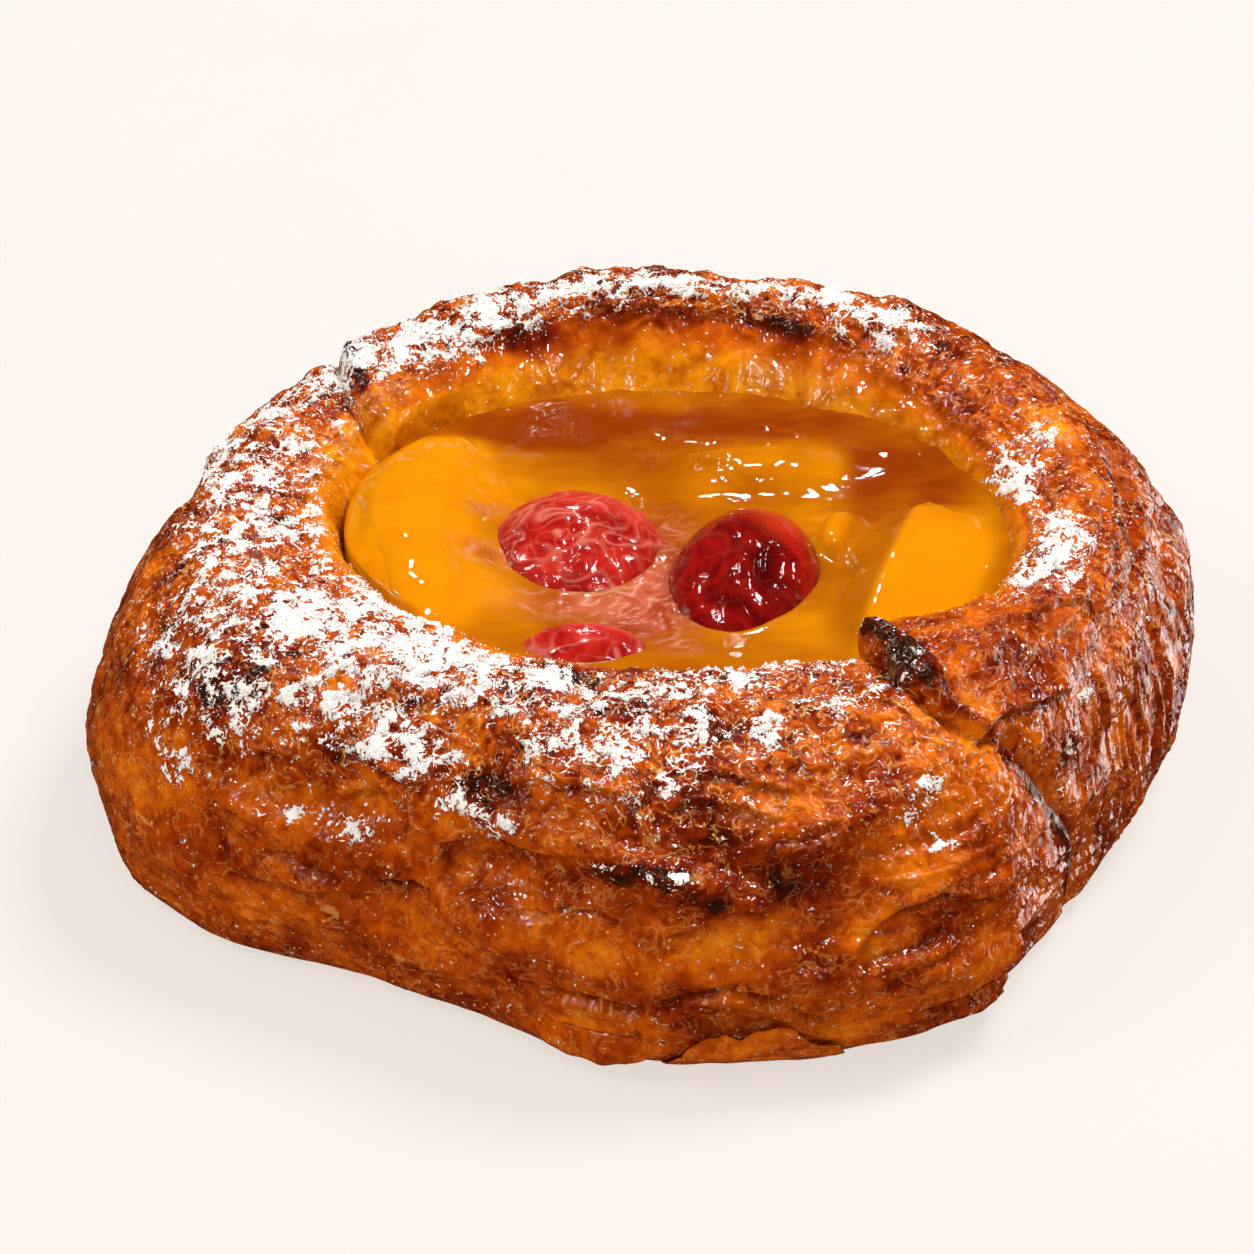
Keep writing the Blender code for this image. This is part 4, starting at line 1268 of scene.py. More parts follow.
# Loose flakes of crust: angle, half width in degrees, lowest and highest station, which edge is free, how far
# it stands off in millimetres, how far it is baked
FLAKES = (
    (281, 9.0, 0.85, 2.25, "high", 0.8, 0.40),
    (265, 6.0, 1.35, 1.95, "low", 0.7, 0.42),
    (279, 0.8, 2.75, 3.02, "high", 0.9, 0.42),
    (303, 4.0, 1.70, 2.10, "low", 0.7, 0.60),
    (309, 3.0, 1.90, 2.40, "low", 0.8, 0.66),
    (60, 5.0, 1.60, 2.00, "low", 0.7, 0.56),
    (150, 5.0, 1.80, 2.20, "high", 0.7, 0.50),
)
FLAKE_COLUMNS, FLAKE_ROWS = 44, 16
FLAKE_THICKNESS = 0.20 * MM


def rim_faces(rows, columns):
    """Quads that close the edge between a grid and its copy behind it, stored after it."""
    rim = np.concatenate([
        np.arange(columns),
        np.arange(1, rows) * columns + columns - 1,
        (rows - 1) * columns + np.arange(columns - 2, -1, -1),
        np.arange(rows - 2, 0, -1) * columns,
    ])
    after = np.roll(rim, -1)
    behind = rows * columns
    return np.stack([after, rim, rim + behind, after + behind], 1)


def one_flake(number, centre, half, low, high, free, lift, browning):
    """A loose sheet with a ragged free edge: the points of its front and back, and how far they are baked."""
    across = np.tile(np.linspace(-1.0, 1.0, FLAKE_COLUMNS), FLAKE_ROWS)
    up = np.repeat(np.linspace(0.0, 1.0, FLAKE_ROWS), FLAKE_COLUMNS)
    angle = centre + half * across
    edge = np.stack([across * half * 0.9, up * 0, np.full_like(across, 3.7 * number)], 1)
    ragged = 0.16 * waves(edge, 3.4) + 0.05 * waves(edge, 1.1, 5.0)
    taper = np.sqrt(np.maximum(0.0, 1.0 - np.abs(across) ** (2.6 if half > 2.5 else 1.7)))
    reach = (high - low) * (up * (0.04 + 0.96 * taper) * (1.0 + ragged))
    station = low + reach if free == "high" else high - reach
    points, facing = smooth_skin(angle, station)
    relief = dough_relief(angle, station) + crust_relief(angle, station)[0] * 0.8
    past_front = wrapped(angle - seam_angle(FRONT_SEAM, CREST)) >= 0.0
    for seam in (FRONT_SEAM, BACK_SEAM):
        past, before = (seam_relief(seam, side, angle, station) for side in (1.0, -1.0))
        relief += np.where(past_front, past, before)
    curl = waves(np.stack([across * half * 1.2, up * 2.0, np.full_like(up, 9.0 * number)], 1), 2.4)
    standing = lift * up ** 1.5 * taper * (1.0 + 0.6 * curl) - 0.25 * (1.0 - up * taper)
    points = points + facing * (relief + standing * MM)[:, None]
    baked = browning + 0.10 * waves(skin_places(angle, station), 3.0, 61.0)
    baked += 0.12 * (up > 0.9) * (browning > 0.4)
    return points, points - facing * FLAKE_THICKNESS, baked, baked + 0.08


def make_flakes(surface):
    """The loose sheets of the outer layers: each is fixed along one edge and stands off at the other."""
    flakes = [one_flake(number, *row) for number, row in enumerate(FLAKES)]
    points = np.concatenate([face for flake in flakes for face in flake[:2]])
    points[:, 2] = np.maximum(points[:, 2], 0.0)
    baked = np.concatenate([tone for flake in flakes for tone in flake[2:]])
    sheet = grid_faces(FLAKE_ROWS, FLAKE_COLUMNS)
    count = FLAKE_ROWS * FLAKE_COLUMNS
    shell = np.concatenate([sheet, sheet[:, ::-1] + count, rim_faces(FLAKE_ROWS, FLAKE_COLUMNS)])
    faces = np.concatenate([shell + 2 * count * number for number in range(len(flakes))])
    zero = np.zeros(len(points))
    mesh = mesh_of("flakes", points, faces, browning=np.clip(baked, 0.0, 1.0), sugar=zero, strands=zero,
                   coarse=zero + 0.3, soaked=zero)
    return shown("flakes", mesh, surface, "baked_crust")


# The burnt tip where the right arm ends on the front lip: where it starts and ends, how thick it is there,
# and how far its middle is sunk
TIP_STATIONS = (9.05, 6.2)
TIP_RADII = (1.60 * MM, 0.45 * MM)
TIP_SUNK = 0.3 * MM
TIP_ROWS, TIP_COLUMNS = 70, 28


def make_tip(surface):
    """The scorched corner and edge of the top arm: a rough ridge that thins away along the seam."""
    share = np.linspace(0.0, 1.0, TIP_ROWS)
    station = TIP_STATIONS[0] + (TIP_STATIONS[1] - TIP_STATIONS[0]) * share
    angle = seam_angle(FRONT_SEAM, station) + 0.2 + 1.4 * share
    skin, facing = smooth_skin(angle, station)
    relief = dough_relief(angle, station) + seam_relief(FRONT_SEAM, 1.0, angle, station)
    middle = skin + facing * (relief - TIP_SUNK)[:, None]
    forward = np.gradient(middle, axis=0)
    forward /= np.linalg.norm(forward, axis=1)[:, None]
    aside = np.cross(facing, forward)
    end = np.sqrt(np.clip(share / 0.09, 0.0, 1.0)) * np.sqrt(np.clip((1.0 - share) / 0.25, 0.0, 1.0))
    radius = (TIP_RADII[0] + (TIP_RADII[1] - TIP_RADII[0]) * share ** 0.7) * end + 0.02 * MM
    turn = np.linspace(0.0, 2 * math.pi, TIP_COLUMNS, endpoint=False)
    ring = aside[:, None] * np.cos(turn)[None, :, None] + facing[:, None] * np.sin(turn)[None, :, None]
    points = (middle[:, None] + ring * radius[:, None, None]).reshape(-1, 3)
    rough = waves(points / MM, 1.6, 2.0) * 0.25 + waves(points / MM, 0.7, 4.0) * 0.10
    points = points + ring.reshape(-1, 3) * (rough * np.repeat(radius, TIP_COLUMNS))[:, None]
    scorched = np.repeat(np.interp(share, (0.0, 0.35, 0.7, 1.0), (1.0, 0.96, 0.84, 0.62)), TIP_COLUMNS)
    flecks = 0.5 * between(waves(points / MM, 0.75, 71.0), 0.15, 0.40)
    zero = np.zeros(len(points))
    mesh = mesh_of("burnt_tip", points, grid_faces(TIP_ROWS, TIP_COLUMNS, closed=True), browning=scorched,
                   sugar=flecks, strands=zero, coarse=zero + 1.0, soaked=zero)
    return shown("burnt_tip", mesh, surface, "baked_crust")


# Materials: the sizes of their textures, in waves to a metre, and the heights of their bumps. Each size of
# curls also has half the width of its crests, in steps of the noise, and a shift

MOTTLING = (620.0, 230.0)
CURLS = ((480.0, 0.042, 0.0), (860.0, 0.070, 0.31))
SPECKS, SPECK_CHOICE = 900.0, 3000.0
DUST_GRAINS, DUST_TUFTS = 2600.0, 1150.0
SMEARS, GRAIN_TINT, PAPER_GRAIN = 160.0, 3000.0, 40.0
GLAZE_FILM, JELLY_FILM, PEACH_FILM, BERRY_FILM = 500.0, 420.0, 650.0, 800.0
SKIN_BUMP, JELLY_BUMP, PEACH_BUMP, BERRY_BUMP = 0.50 * MM, 0.10 * MM, 0.12 * MM, 0.15 * MM
# Light below the surface: its share, how far each colour goes, and the scale of that
JELLY_GLOW = (0.35, (1.0, 0.40, 0.08), 3.0 * MM)
PEACH_GLOW = (0.40, (1.0, 0.45, 0.08), 2.5 * MM)
BERRY_GLOW = (0.22, (1.0, 0.15, 0.10), 1.5 * MM)


def group_of(name, inputs, outputs):
    """An empty shader node group, from rows of a socket's name and type, and for inputs a first value."""
    group = bpy.data.node_groups.new(name, "ShaderNodeTree")
    for label, kind, value in inputs:
        socket = group.interface.new_socket(label, in_out="INPUT", socket_type=kind)
        if value is not None:
            socket.default_value = value
    for label, kind in outputs:
        group.interface.new_socket(label, in_out="OUTPUT", socket_type=kind)
    return group, group.nodes.new("NodeGroupInput"), group.nodes.new("NodeGroupOutput")


def feed(tree, value, socket):
    """Sets a number or a colour on a socket, or links another socket to it."""
    if isinstance(value, tuple):
        socket.default_value = (*value, 1.0)
    elif isinstance(value, (int, float)):
        socket.default_value = value
    else:
        tree.links.new(value, socket)


def texture(tree, kind, vector, scale, **settings):
    """The outputs of a noise or Voronoi texture node of a scale, in waves to a metre."""
    node = tree.nodes.new(kind)
    feed(tree, vector, node.inputs["Vector"])
    feed(tree, scale, node.inputs["Scale"])
    for label, value in settings.items():
        node.inputs[label].default_value = value
    return node.outputs


def soft_noise(tree, vector, scale, **settings):
    """The level of a noise texture, from 0 to 1."""
    return texture(tree, "ShaderNodeTexNoise", vector, scale, **settings)["Fac"]


def calculated(tree, operation, *values):
    """What a math node makes of its values, each a socket or a number."""
    node = tree.nodes.new("ShaderNodeMath")
    node.operation = operation
    for value, socket in zip(values, node.inputs):
        feed(tree, value, socket)
    return node.outputs[0]


def ramp(tree, value, steps):
    """A colour ramp from rows of a position and a colour."""
    node = tree.nodes.new("ShaderNodeValToRGB")
    band = node.color_ramp
    while len(band.elements) < len(steps):
        band.elements.new(0.5)
    for element, (position, colour) in zip(band.elements, steps):
        element.position = position
        element.color = (*colour, 1.0)
    feed(tree, value, node.inputs[0])
    return node.outputs[0]


def rise(tree, value, low, high, to_low=0.0, to_high=1.0):
    """A smooth rise of a value between two limits."""
    node = tree.nodes.new("ShaderNodeMapRange")
    node.interpolation_type = "SMOOTHSTEP"
    for label, number in (("From Min", low), ("From Max", high), ("To Min", to_low), ("To Max", to_high)):
        node.inputs[label].default_value = number
    feed(tree, value, node.inputs["Value"])
    return node.outputs[0]


def blend(tree, share, first, second):
    """One colour laid over another by a share: each is a socket or a colour."""
    node = tree.nodes.new("ShaderNodeMix")
    node.data_type = "RGBA"
    for value, number in ((share, 0), (first, 6), (second, 7)):
        feed(tree, value, node.inputs[number])
    return node.outputs[2]


def baked_colour_group():
    """How baked dough looks: a level from pale gold to burnt, with any painted shade added to it, becomes a
    colour, mottled in fine spots.
    """
    group, start, end = group_of(
        "baked_colour",
        (
            ("Vector", "NodeSocketVector", None),
            ("Browning", "NodeSocketFloat", 0.5),
            ("Mottling", "NodeSocketFloat", 0.2),
        ),
        (("Color", "NodeSocketColor"), ("Patches", "NodeSocketFloat")))
    where = start.outputs["Vector"]
    fine = soft_noise(group, where, MOTTLING[0], Detail=2.4, Distortion=0.8)
    broad = soft_noise(group, where, MOTTLING[1], Detail=1.0, Distortion=0.8)
    patches = calculated(group, "SUBTRACT", calculated(group, "ADD", fine, broad), 1.0)
    level = calculated(group, "MULTIPLY_ADD", patches, start.outputs["Mottling"], start.outputs["Browning"])
    feed(group, patches, end.inputs["Patches"])
    feed(group, ramp(group, level, BROWNING_STEPS), end.inputs["Color"])
    return group


def curl_lines(tree, vector, scale, half_width, seed):
    """Short winding crests where soft noise crosses its middle value: 1 along each crest; and that noise."""
    moved = tree.nodes.new("ShaderNodeVectorMath")
    moved.operation = "ADD"
    moved.inputs[1].default_value = (seed, 0.7 * seed, 0.3 * seed)
    feed(tree, vector, moved.inputs[0])
    soft = soft_noise(tree, moved.outputs[0], scale, Detail=0.0, Distortion=1.2)
    gaps = soft_noise(tree, moved.outputs[0], 0.9 * scale, Detail=0.0)
    off = calculated(tree, "ABSOLUTE", calculated(tree, "SUBTRACT", soft, 0.5))
    line = rise(tree, off, 0.4 * half_width, half_width, 1.0, 0.0)
    return calculated(tree, "MULTIPLY", line, rise(tree, gaps, 0.50, 0.58)), soft


def scattered_specks(tree, vector):
    """Tiny round specks: a dot in some of the cells of a Voronoi texture."""
    cells = texture(tree, "ShaderNodeTexVoronoi", vector, SPECKS)
    dots = rise(tree, cells["Distance"], 0.10, 0.18, 1.0, 0.0)
    chosen = soft_noise(tree, cells["Position"], SPECK_CHOICE, Detail=0.0)
    return calculated(tree, "MULTIPLY", dots, rise(tree, chosen, 0.54, 0.58))


def fine_skin_group():
    """The crust's finest relief: soft curls of two sizes with thin crests, hollows between, and specks; the
    colour takes painted shade from the hollows, in part painted highlight from the crests, and painted glints
    from the specks.
    """
    group, start, end = group_of(
        "fine_skin",
        (("Vector", "NodeSocketVector", None), ("Curls", "NodeSocketFloat", 1.0)),
        (
            ("Height", "NodeSocketFloat"),
            ("Crests", "NodeSocketFloat"),
            ("Hollows", "NodeSocketFloat"),
            ("Specks", "NodeSocketFloat"),
        ))
    where, curls = start.outputs["Vector"], start.outputs["Curls"]
    (broad_line, broad), (fine_line, fine) = (curl_lines(group, where, *row) for row in CURLS)
    crests = calculated(group, "MULTIPLY", calculated(group, "MAXIMUM", broad_line, fine_line), curls)
    waviness = calculated(group, "MULTIPLY_ADD", broad, 1.6, calculated(group, "MULTIPLY", fine, 0.8))
    waviness = calculated(group, "MULTIPLY", waviness, rise(group, curls, 0.0, 1.0, 0.12, 1.0))
    # The hollows, which darken the colour as painted shade.
    deep = calculated(group, "ADD", rise(group, broad, 0.46, 0.33), rise(group, fine, 0.44, 0.32, 0.0, 0.7))
    specks = calculated(group, "MULTIPLY", scattered_specks(group, where), rise(group, curls, 0.05, 0.20))
    feed(group, crests, end.inputs["Crests"])
    feed(group, calculated(group, "MULTIPLY_ADD", crests, 0.16, waviness), end.inputs["Height"])
    feed(group, calculated(group, "MULTIPLY", deep, curls), end.inputs["Hollows"])
    feed(group, specks, end.inputs["Specks"])
    return group


def sugar_dust_group():
    """A dusting of sugar: how thickly it lies becomes a white mask with a grainy edge, and its own height."""
    group, start, end = group_of(
        "sugar_dust",
        (("Vector", "NodeSocketVector", None), ("Cover", "NodeSocketFloat", 0.0)),
        (("Mask", "NodeSocketFloat"), ("Height", "NodeSocketFloat")))
    where = start.outputs["Vector"]
    grains = soft_noise(group, where, DUST_GRAINS, Detail=3.0)
    ragged = soft_noise(group, where, DUST_TUFTS, Detail=4.0, Distortion=1.2)
    specks = calculated(group, "SUBTRACT", grains, 0.5)
    tufts = calculated(group, "SUBTRACT", ragged, 0.5)
    tufts = calculated(group, "MULTIPLY_ADD", tufts, 2.3, start.outputs["Cover"])
    mask = rise(group, calculated(group, "MULTIPLY_ADD", specks, 0.5, tufts), 0.46, 0.54)
    feed(group, mask, end.inputs["Mask"])
    feed(group, calculated(group, "MULTIPLY", mask, grains), end.inputs["Height"])
    return group


def wet_film_group():
    """The ripples of a syrup film over crust, jelly and fruit, as a height, and broad smears in it."""
    group, start, end = group_of(
        "wet_film",
        (
            ("Vector", "NodeSocketVector", None),
            ("Ripples", "NodeSocketFloat", 1.0),
            ("Fineness", "NodeSocketFloat", 300.0),
        ),
        (("Height", "NodeSocketFloat"), ("Smears", "NodeSocketFloat")))
    where = start.outputs["Vector"]
    fineness = start.outputs["Fineness"]
    film = soft_noise(group, where, fineness, Detail=2.0, Distortion=0.8)
    smears = soft_noise(group, where, SMEARS, Detail=3.0, Distortion=2.0)
    feed(group, calculated(group, "MULTIPLY", film, start.outputs["Ripples"]), end.inputs["Height"])
    feed(group, smears, end.inputs["Smears"])
    return group


GROUPS = {
    "baked_colour": baked_colour_group(),
    "fine_skin": fine_skin_group(),
    "sugar_dust": sugar_dust_group(),
    "wet_film": wet_film_group(),
}


def start_material(name):
    """A material with its node tree, its Principled shader and the object's own coordinates."""
    made = bpy.data.materials.new(name)
    made.use_nodes = True
    tree = made.node_tree
    where = tree.nodes.new("ShaderNodeTexCoord").outputs["Object"]
    return made, tree, tree.nodes["Principled BSDF"], where


def place_group(tree, name, where, **values):
    """The outputs of one of the shared node groups, placed in a material with its own values."""
    node = tree.nodes.new("ShaderNodeGroup")
    node.node_tree = GROUPS[name]
    feed(tree, where, node.inputs["Vector"])
    for label, value in values.items():
        feed(tree, value, node.inputs[label])
    return node.outputs


def value_at(tree, name):
    """A named value that the mesh carries at its points."""
    node = tree.nodes.new("ShaderNodeAttribute")
    node.attribute_name = name
    return node.outputs["Fac"]


def bump(tree, height, distance, strength=1.0):
    """A bump from a height, over a distance in metres."""
    node = tree.nodes.new("ShaderNodeBump")
    node.inputs["Distance"].default_value = distance
    node.inputs["Strength"].default_value = strength
    feed(tree, height, node.inputs["Height"])
    return node.outputs["Normal"]


def set_values(shader, **values):
    """Constant values on the shader's own sockets."""
    for label, value in values.items():
        shader.inputs[label.replace("_", " ")].default_value = value


def pale_detail(tree, skin, patches):
    """Where the bare crust shows pale: frayed strands of glaze, the crests of its curls, pale in part and
    painted highlight in part, and specks, which are painted glints.
    """
    frayed = calculated(tree, "MULTIPLY_ADD", patches, 0.9, value_at(tree, "strands"))
    strands = rise(tree, frayed, 0.70, 0.98, 0.0, 0.50)
    # The crests are partly pale curls and partly painted highlight.
    crests = calculated(tree, "MULTIPLY", skin["Crests"], 0.62)
    # The specks are painted glints.
    specks = calculated(tree, "MULTIPLY", skin["Specks"], 0.85)
    pale = calculated(tree, "MAXIMUM", calculated(tree, "MAXIMUM", strands, crests), specks)
    unburnt = rise(tree, value_at(tree, "browning"), 0.95, 0.65, 0.12, 1.0)
    return calculated(tree, "MULTIPLY", pale, unburnt)


def glaze_gloss(tree, where, dusted):
    """How strongly the crust's glaze shines: in smears, and not under sugar or where jelly has soaked in."""
    smears = place_group(tree, "wet_film", where, Ripples=1.0, Fineness=GLAZE_FILM)["Smears"]
    glazed = rise(tree, smears, 0.47, 0.56, 0.06, 0.85)
    bare = rise(tree, dusted, 0.0, 0.6, 1.0, 0.0)
    dry = rise(tree, value_at(tree, "soaked"), 0.0, 1.0, 1.0, 0.15)
    return calculated(tree, "MULTIPLY", calculated(tree, "MULTIPLY", glazed, bare), dry)


def crust_material():
    """Glazed baked dough: browned by its level, with painted shade in hollows, creases and grooves, pale
    curls and strands with painted highlights and glints, glints from the glaze, and dusted sugar.
    """
    made, tree, shader, where = start_material("baked_crust")
    skin = place_group(tree, "fine_skin", where, Curls=value_at(tree, "coarse"))
    # Painted shade: the hollows between the curls darken the level.
    level = calculated(tree, "MULTIPLY_ADD", skin["Hollows"], 0.22, value_at(tree, "browning"))
    baked = place_group(tree, "baked_colour", where, Browning=level, Mottling=0.45)
    caught = calculated(tree, "MULTIPLY_ADD", skin["Crests"], 0.34, value_at(tree, "sugar"))
    dust = place_group(tree, "sugar_dust", where, Cover=caught)
    amber = ramp(tree, calculated(tree, "ADD", baked["Patches"], 0.5), SOAKED_STEPS)
    dough = blend(tree, value_at(tree, "soaked"), baked["Color"], amber)
    bare = blend(tree, pale_detail(tree, skin, baked["Patches"]), dough, TAN_AND_HIGHLIGHT)
    feed(tree, blend(tree, dust["Mask"], bare, DUST_WHITE), shader.inputs["Base Color"])
    feed(tree, rise(tree, dust["Mask"], 0.0, 1.0, 0.16, 0.85), shader.inputs["Roughness"])
    feed(tree, glaze_gloss(tree, where, dust["Mask"]), shader.inputs["Coat Weight"])
    height = calculated(tree, "MULTIPLY_ADD", dust["Height"], 0.5, skin["Height"])
    wrinkled = bump(tree, height, SKIN_BUMP)
    feed(tree, wrinkled, shader.inputs["Normal"])
    feed(tree, wrinkled, shader.inputs["Coat Normal"])
    set_values(shader, Specular_IOR_Level=0.06, Coat_Roughness=0.06, Coat_IOR=1.45)
    return made


def sugar_material():
    """Loose white sugar, with a faint glow of its own: painted light."""
    made, tree, shader, where = start_material("loose_sugar")
    grain = soft_noise(tree, where, GRAIN_TINT, Detail=2.0)
    tint = ramp(tree, grain, ((0.3, (0.90, 0.86, 0.82)), (0.7, (0.96, 0.94, 0.92))))
    feed(tree, tint, shader.inputs["Base Color"])
    # Painted light: a faint glow brightens the sugar.
    feed(tree, tint, shader.inputs["Emission Color"])
    set_values(shader, Roughness=0.75, Specular_IOR_Level=0.2, Emission_Strength=0.05)
    return made


def glow_within(shader, weight, radius, scale):
    """Lets light scatter below the surface: its share, how far each colour goes, and the scale of that."""
    set_values(shader, Subsurface_Weight=weight, Subsurface_Radius=radius, Subsurface_Scale=scale)


def jelly_material():
    """Amber jelly: bright where fruit lies close under it, dark where it is deep and where shade is painted,
    pink beside the berries.
    """
    made, tree, shader, where = start_material("amber_jelly")
    film = place_group(tree, "wet_film", where, Ripples=1.0, Fineness=JELLY_FILM)
    amber = ramp(tree, value_at(tree, "depth_and_shade"), JELLY_STEPS)
    pink = ramp(tree, film["Smears"], BLUSH_STEPS)
    blushed = blend(tree, calculated(tree, "MULTIPLY", value_at(tree, "blush"), 0.80), amber, pink)
    edges = calculated(tree, "MULTIPLY", value_at(tree, "membrane"), 0.50)
    feed(tree, blend(tree, edges, blushed, MEMBRANE_PINK), shader.inputs["Base Color"])
    feed(tree, bump(tree, film["Height"], JELLY_BUMP, 0.5), shader.inputs["Normal"])
    set_values(shader, Roughness=0.05, Specular_IOR_Level=0.22)
    glow_within(shader, *JELLY_GLOW)
    return made


def peach_material():
    """Poached peach under syrup: bright flesh with soft fibres."""
    made, tree, shader, where = start_material("peach_flesh")
    film = place_group(tree, "wet_film", where, Ripples=1.0, Fineness=PEACH_FILM)
    fibres = calculated(tree, "MULTIPLY_ADD", value_at(tree, "fibres"), 0.45, film["Smears"])
    feed(tree, ramp(tree, fibres, PEACH_STEPS), shader.inputs["Base Color"])
    feed(tree, bump(tree, film["Height"], PEACH_BUMP, 0.6), shader.inputs["Normal"])
    set_values(shader, Roughness=0.10, Specular_IOR_Level=0.10)
    set_values(shader, Coat_Weight=0.1, Coat_Roughness=0.04, Coat_IOR=1.30)
    glow_within(shader, *PEACH_GLOW)
    return made


def berry_material(name, deep, bright, vein, painted_light_red):
    """A cooked berry under syrup: deep and bright red with pale veins, painted shade in its hollow, and
    painted light on its side towards the lamp.
    """
    made, tree, shader, where = start_material(name)
    film = place_group(tree, "wet_film", where, Ripples=1.0, Fineness=BERRY_FILM)
    tone = ramp(tree, film["Smears"], ((0.35, bright), (0.62, deep)))
    # The skin's dark patches, and painted shade in the hollow.
    patches_and_shade = blend(tree, value_at(tree, "dark"), tone, tuple(0.35 * value for value in deep))
    # Painted light: the side towards the lamp is painted lighter.
    painted_light_share = calculated(tree, "MULTIPLY", value_at(tree, "lit_side"), 0.55)
    lit = blend(tree, painted_light_share, patches_and_shade, painted_light_red)
    veins = calculated(tree, "MULTIPLY", value_at(tree, "veins"), 0.60)
    feed(tree, blend(tree, veins, lit, vein), shader.inputs["Base Color"])
    feed(tree, bump(tree, film["Height"], BERRY_BUMP, 0.7), shader.inputs["Normal"])
    set_values(shader, Roughness=0.07, Specular_IOR_Level=0.20)
    set_values(shader, Coat_Weight=0.2, Coat_Roughness=0.04, Coat_IOR=1.35)
    glow_within(shader, *BERRY_GLOW)
    return made


# Studio

CAMERA_ELEVATION = 32.0
CAMERA_DISTANCE = 0.60
CAMERA_LENS = 157.2
CAMERA_TARGET = Vector((-1.5, 0.0, 17.0)) * MM
FLOOR_GLOW = (0.711, 0.654, 0.606)
FLOOR_COLOUR = (0.161, 0.164, 0.166)
FLOOR_SIZE = 12.0

# Soft lamps that light the surfaces: direction, distance, size and power
SOFT_LAMPS = (
    ("key", (0.42, 0.28, 0.86), 1.5, 0.60, 25.0),
    ("fill", (-0.60, -0.20, 0.77), 1.5, 0.90, 10.0),
    ("front", (0.20, -0.75, 0.63), 1.5, 0.80, 4.0),
)
# Lamps that are seen only in reflections: small bright ones for glints, and last a large low one at the
# right, which stands for the pale table that the right wall reflects
GLINT_LAMPS = (
    ("glint_back", (0.05, 0.64, 0.77), 1.2, 0.15, 5.5),
    ("glint_top", (0.10, 0.00, 0.99), 1.2, 0.15, 5.0),
    ("glint_left_front", (-0.45, -0.45, 0.77), 1.2, 0.15, 5.0),
    ("glint_right_front", (0.50, -0.40, 0.77), 1.2, 0.15, 5.0),
    ("glint_right", (0.78, 0.22, 0.58), 1.2, 0.15, 5.0),
    ("glint_left", (-0.78, 0.22, 0.58), 1.2, 0.15, 5.0),
    ("sheen_right", (0.78, 0.54, -0.20), 1.5, 1.10, 10.5),
)
LAMP_COLOUR = (1.0, 0.97, 0.94)
WORLD_COLOUR = (1.0, 0.96, 0.92)
WORLD_STRENGTH = 0.40
WORLD_IN_GLOSS = 0.015


def point_at(thing, target):
    """Turns a camera or a light towards a place."""
    thing.rotation_euler = (thing.location - target).to_track_quat("Z", "Y").to_euler()


def add_lamp(name, direction, distance, size, power):
    """A round lamp that shines on the danish from a direction."""
    lamp = bpy.data.lights.new(name, "AREA")
    lamp.shape = "DISK"
    lamp.size = size
    lamp.energy = power
    lamp.color = LAMP_COLOUR
    light = bpy.data.objects.new(name, lamp)
    light.location = CAMERA_TARGET + Vector(direction).normalized() * distance
    light.visible_camera = False
    point_at(light, CAMERA_TARGET)
    bpy.context.scene.collection.objects.link(light)
    return light


def floor_material():
    """Pale matt paper that glows evenly and takes soft shadows."""
    made, tree, shader, where = start_material("pale_floor")
    grain = soft_noise(tree, where, PAPER_GRAIN, Detail=2.0)
    dim = tuple(0.98 * value for value in FLOOR_COLOUR)
    feed(tree, ramp(tree, grain, ((0.3, dim), (0.7, FLOOR_COLOUR))), shader.inputs["Base Color"])
    set_values(shader, Roughness=1.0, Specular_IOR_Level=0.0, Emission_Strength=1.0)
    set_values(shader, Emission_Color=(*FLOOR_GLOW, 1.0))
    return made


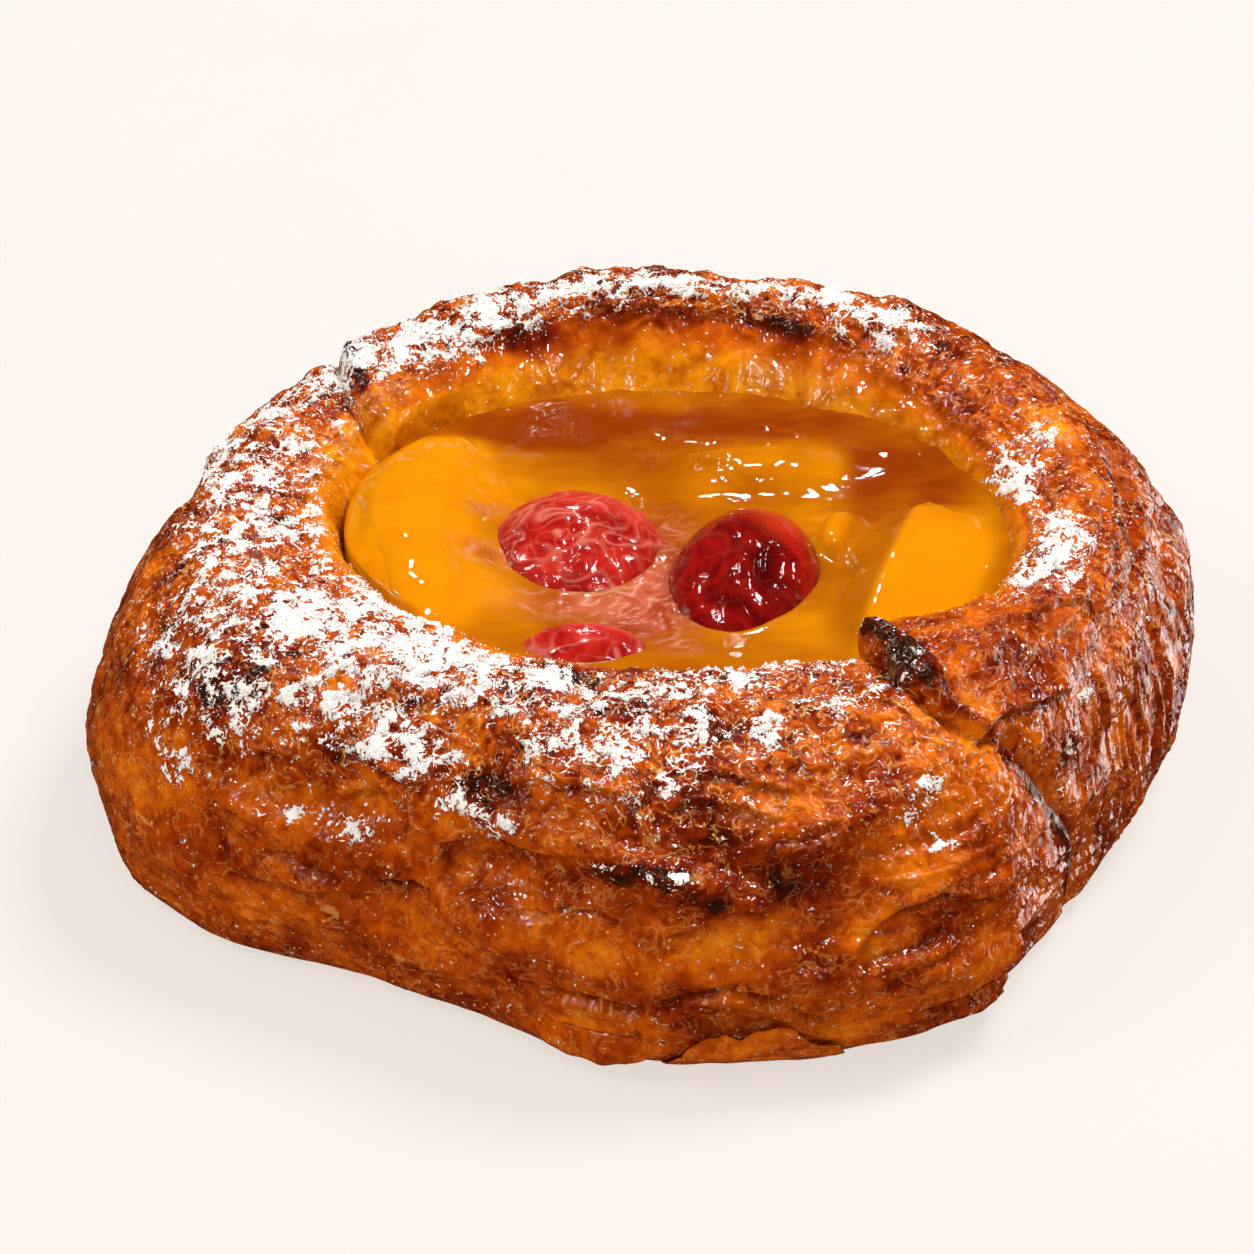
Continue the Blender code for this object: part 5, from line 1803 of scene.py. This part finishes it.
def make_floor():
    """A large pale floor, which isn't part of the danish."""
    mesh = bpy.data.meshes.new("floor")
    half = FLOOR_SIZE / 2
    corners = [(-half, -half, 0), (half, -half, 0), (half, half, 0), (-half, half, 0)]
    mesh.from_pydata(corners, [], [(0, 1, 2, 3)])
    mesh.materials.append(floor_material())
    floor = bpy.data.objects.new("floor", mesh)
    bpy.context.scene.collection.objects.link(floor)
    floor.visible_glossy = False


def make_surround():
    """A pale surround, which is dim in reflections."""
    world = bpy.data.worlds.new("surround")
    bpy.context.scene.world = world
    world.use_nodes = True
    tree = world.node_tree
    sky = tree.nodes["Background"]
    sky.inputs["Color"].default_value = (*WORLD_COLOUR, 1.0)
    glossy_ray = tree.nodes.new("ShaderNodeLightPath").outputs["Is Glossy Ray"]
    feed(tree, rise(tree, glossy_ray, 0.0, 1.0, WORLD_STRENGTH, WORLD_IN_GLOSS), sky.inputs["Strength"])


def make_camera():
    """The camera, at the photo's viewing angle."""
    camera = bpy.data.objects.new("camera", bpy.data.cameras.new("camera"))
    bpy.context.scene.collection.objects.link(camera)
    camera.data.sensor_width = 36.0
    camera.data.lens = CAMERA_LENS
    tilt = math.radians(CAMERA_ELEVATION)
    camera.location = CAMERA_TARGET + Vector((0.0, -math.cos(tilt), math.sin(tilt))) * CAMERA_DISTANCE
    point_at(camera, CAMERA_TARGET)
    bpy.context.scene.camera = camera


def make_studio():
    """A pale floor, soft lights, a pale surround and the camera."""
    bpy.context.scene.view_settings.view_transform = "Standard"
    make_floor()
    for row in SOFT_LAMPS:
        add_lamp(*row).visible_glossy = False
    for row in GLINT_LAMPS:
        add_lamp(*row).visible_diffuse = False
    make_surround()
    make_camera()


def main():
    """Makes every piece and the studio."""
    crust = crust_material()
    peach = peach_material()
    squashed = berry_material("squashed_berry", *SQUASHED_REDS)
    glossy = berry_material("glossy_berry", *GLOSSY_REDS)
    dusted = make_crust(crust)
    make_sugar(dusted, sugar_material())
    make_flakes(crust)
    make_tip(crust)
    berries = [make_berry(*row, glossy if row[0] == "berry_right" else squashed) for row in BERRIES]
    slices = [make_slice(*row, peach) for row in SLICES]
    make_jelly(berries, slices, jelly_material())
    make_studio()


main()
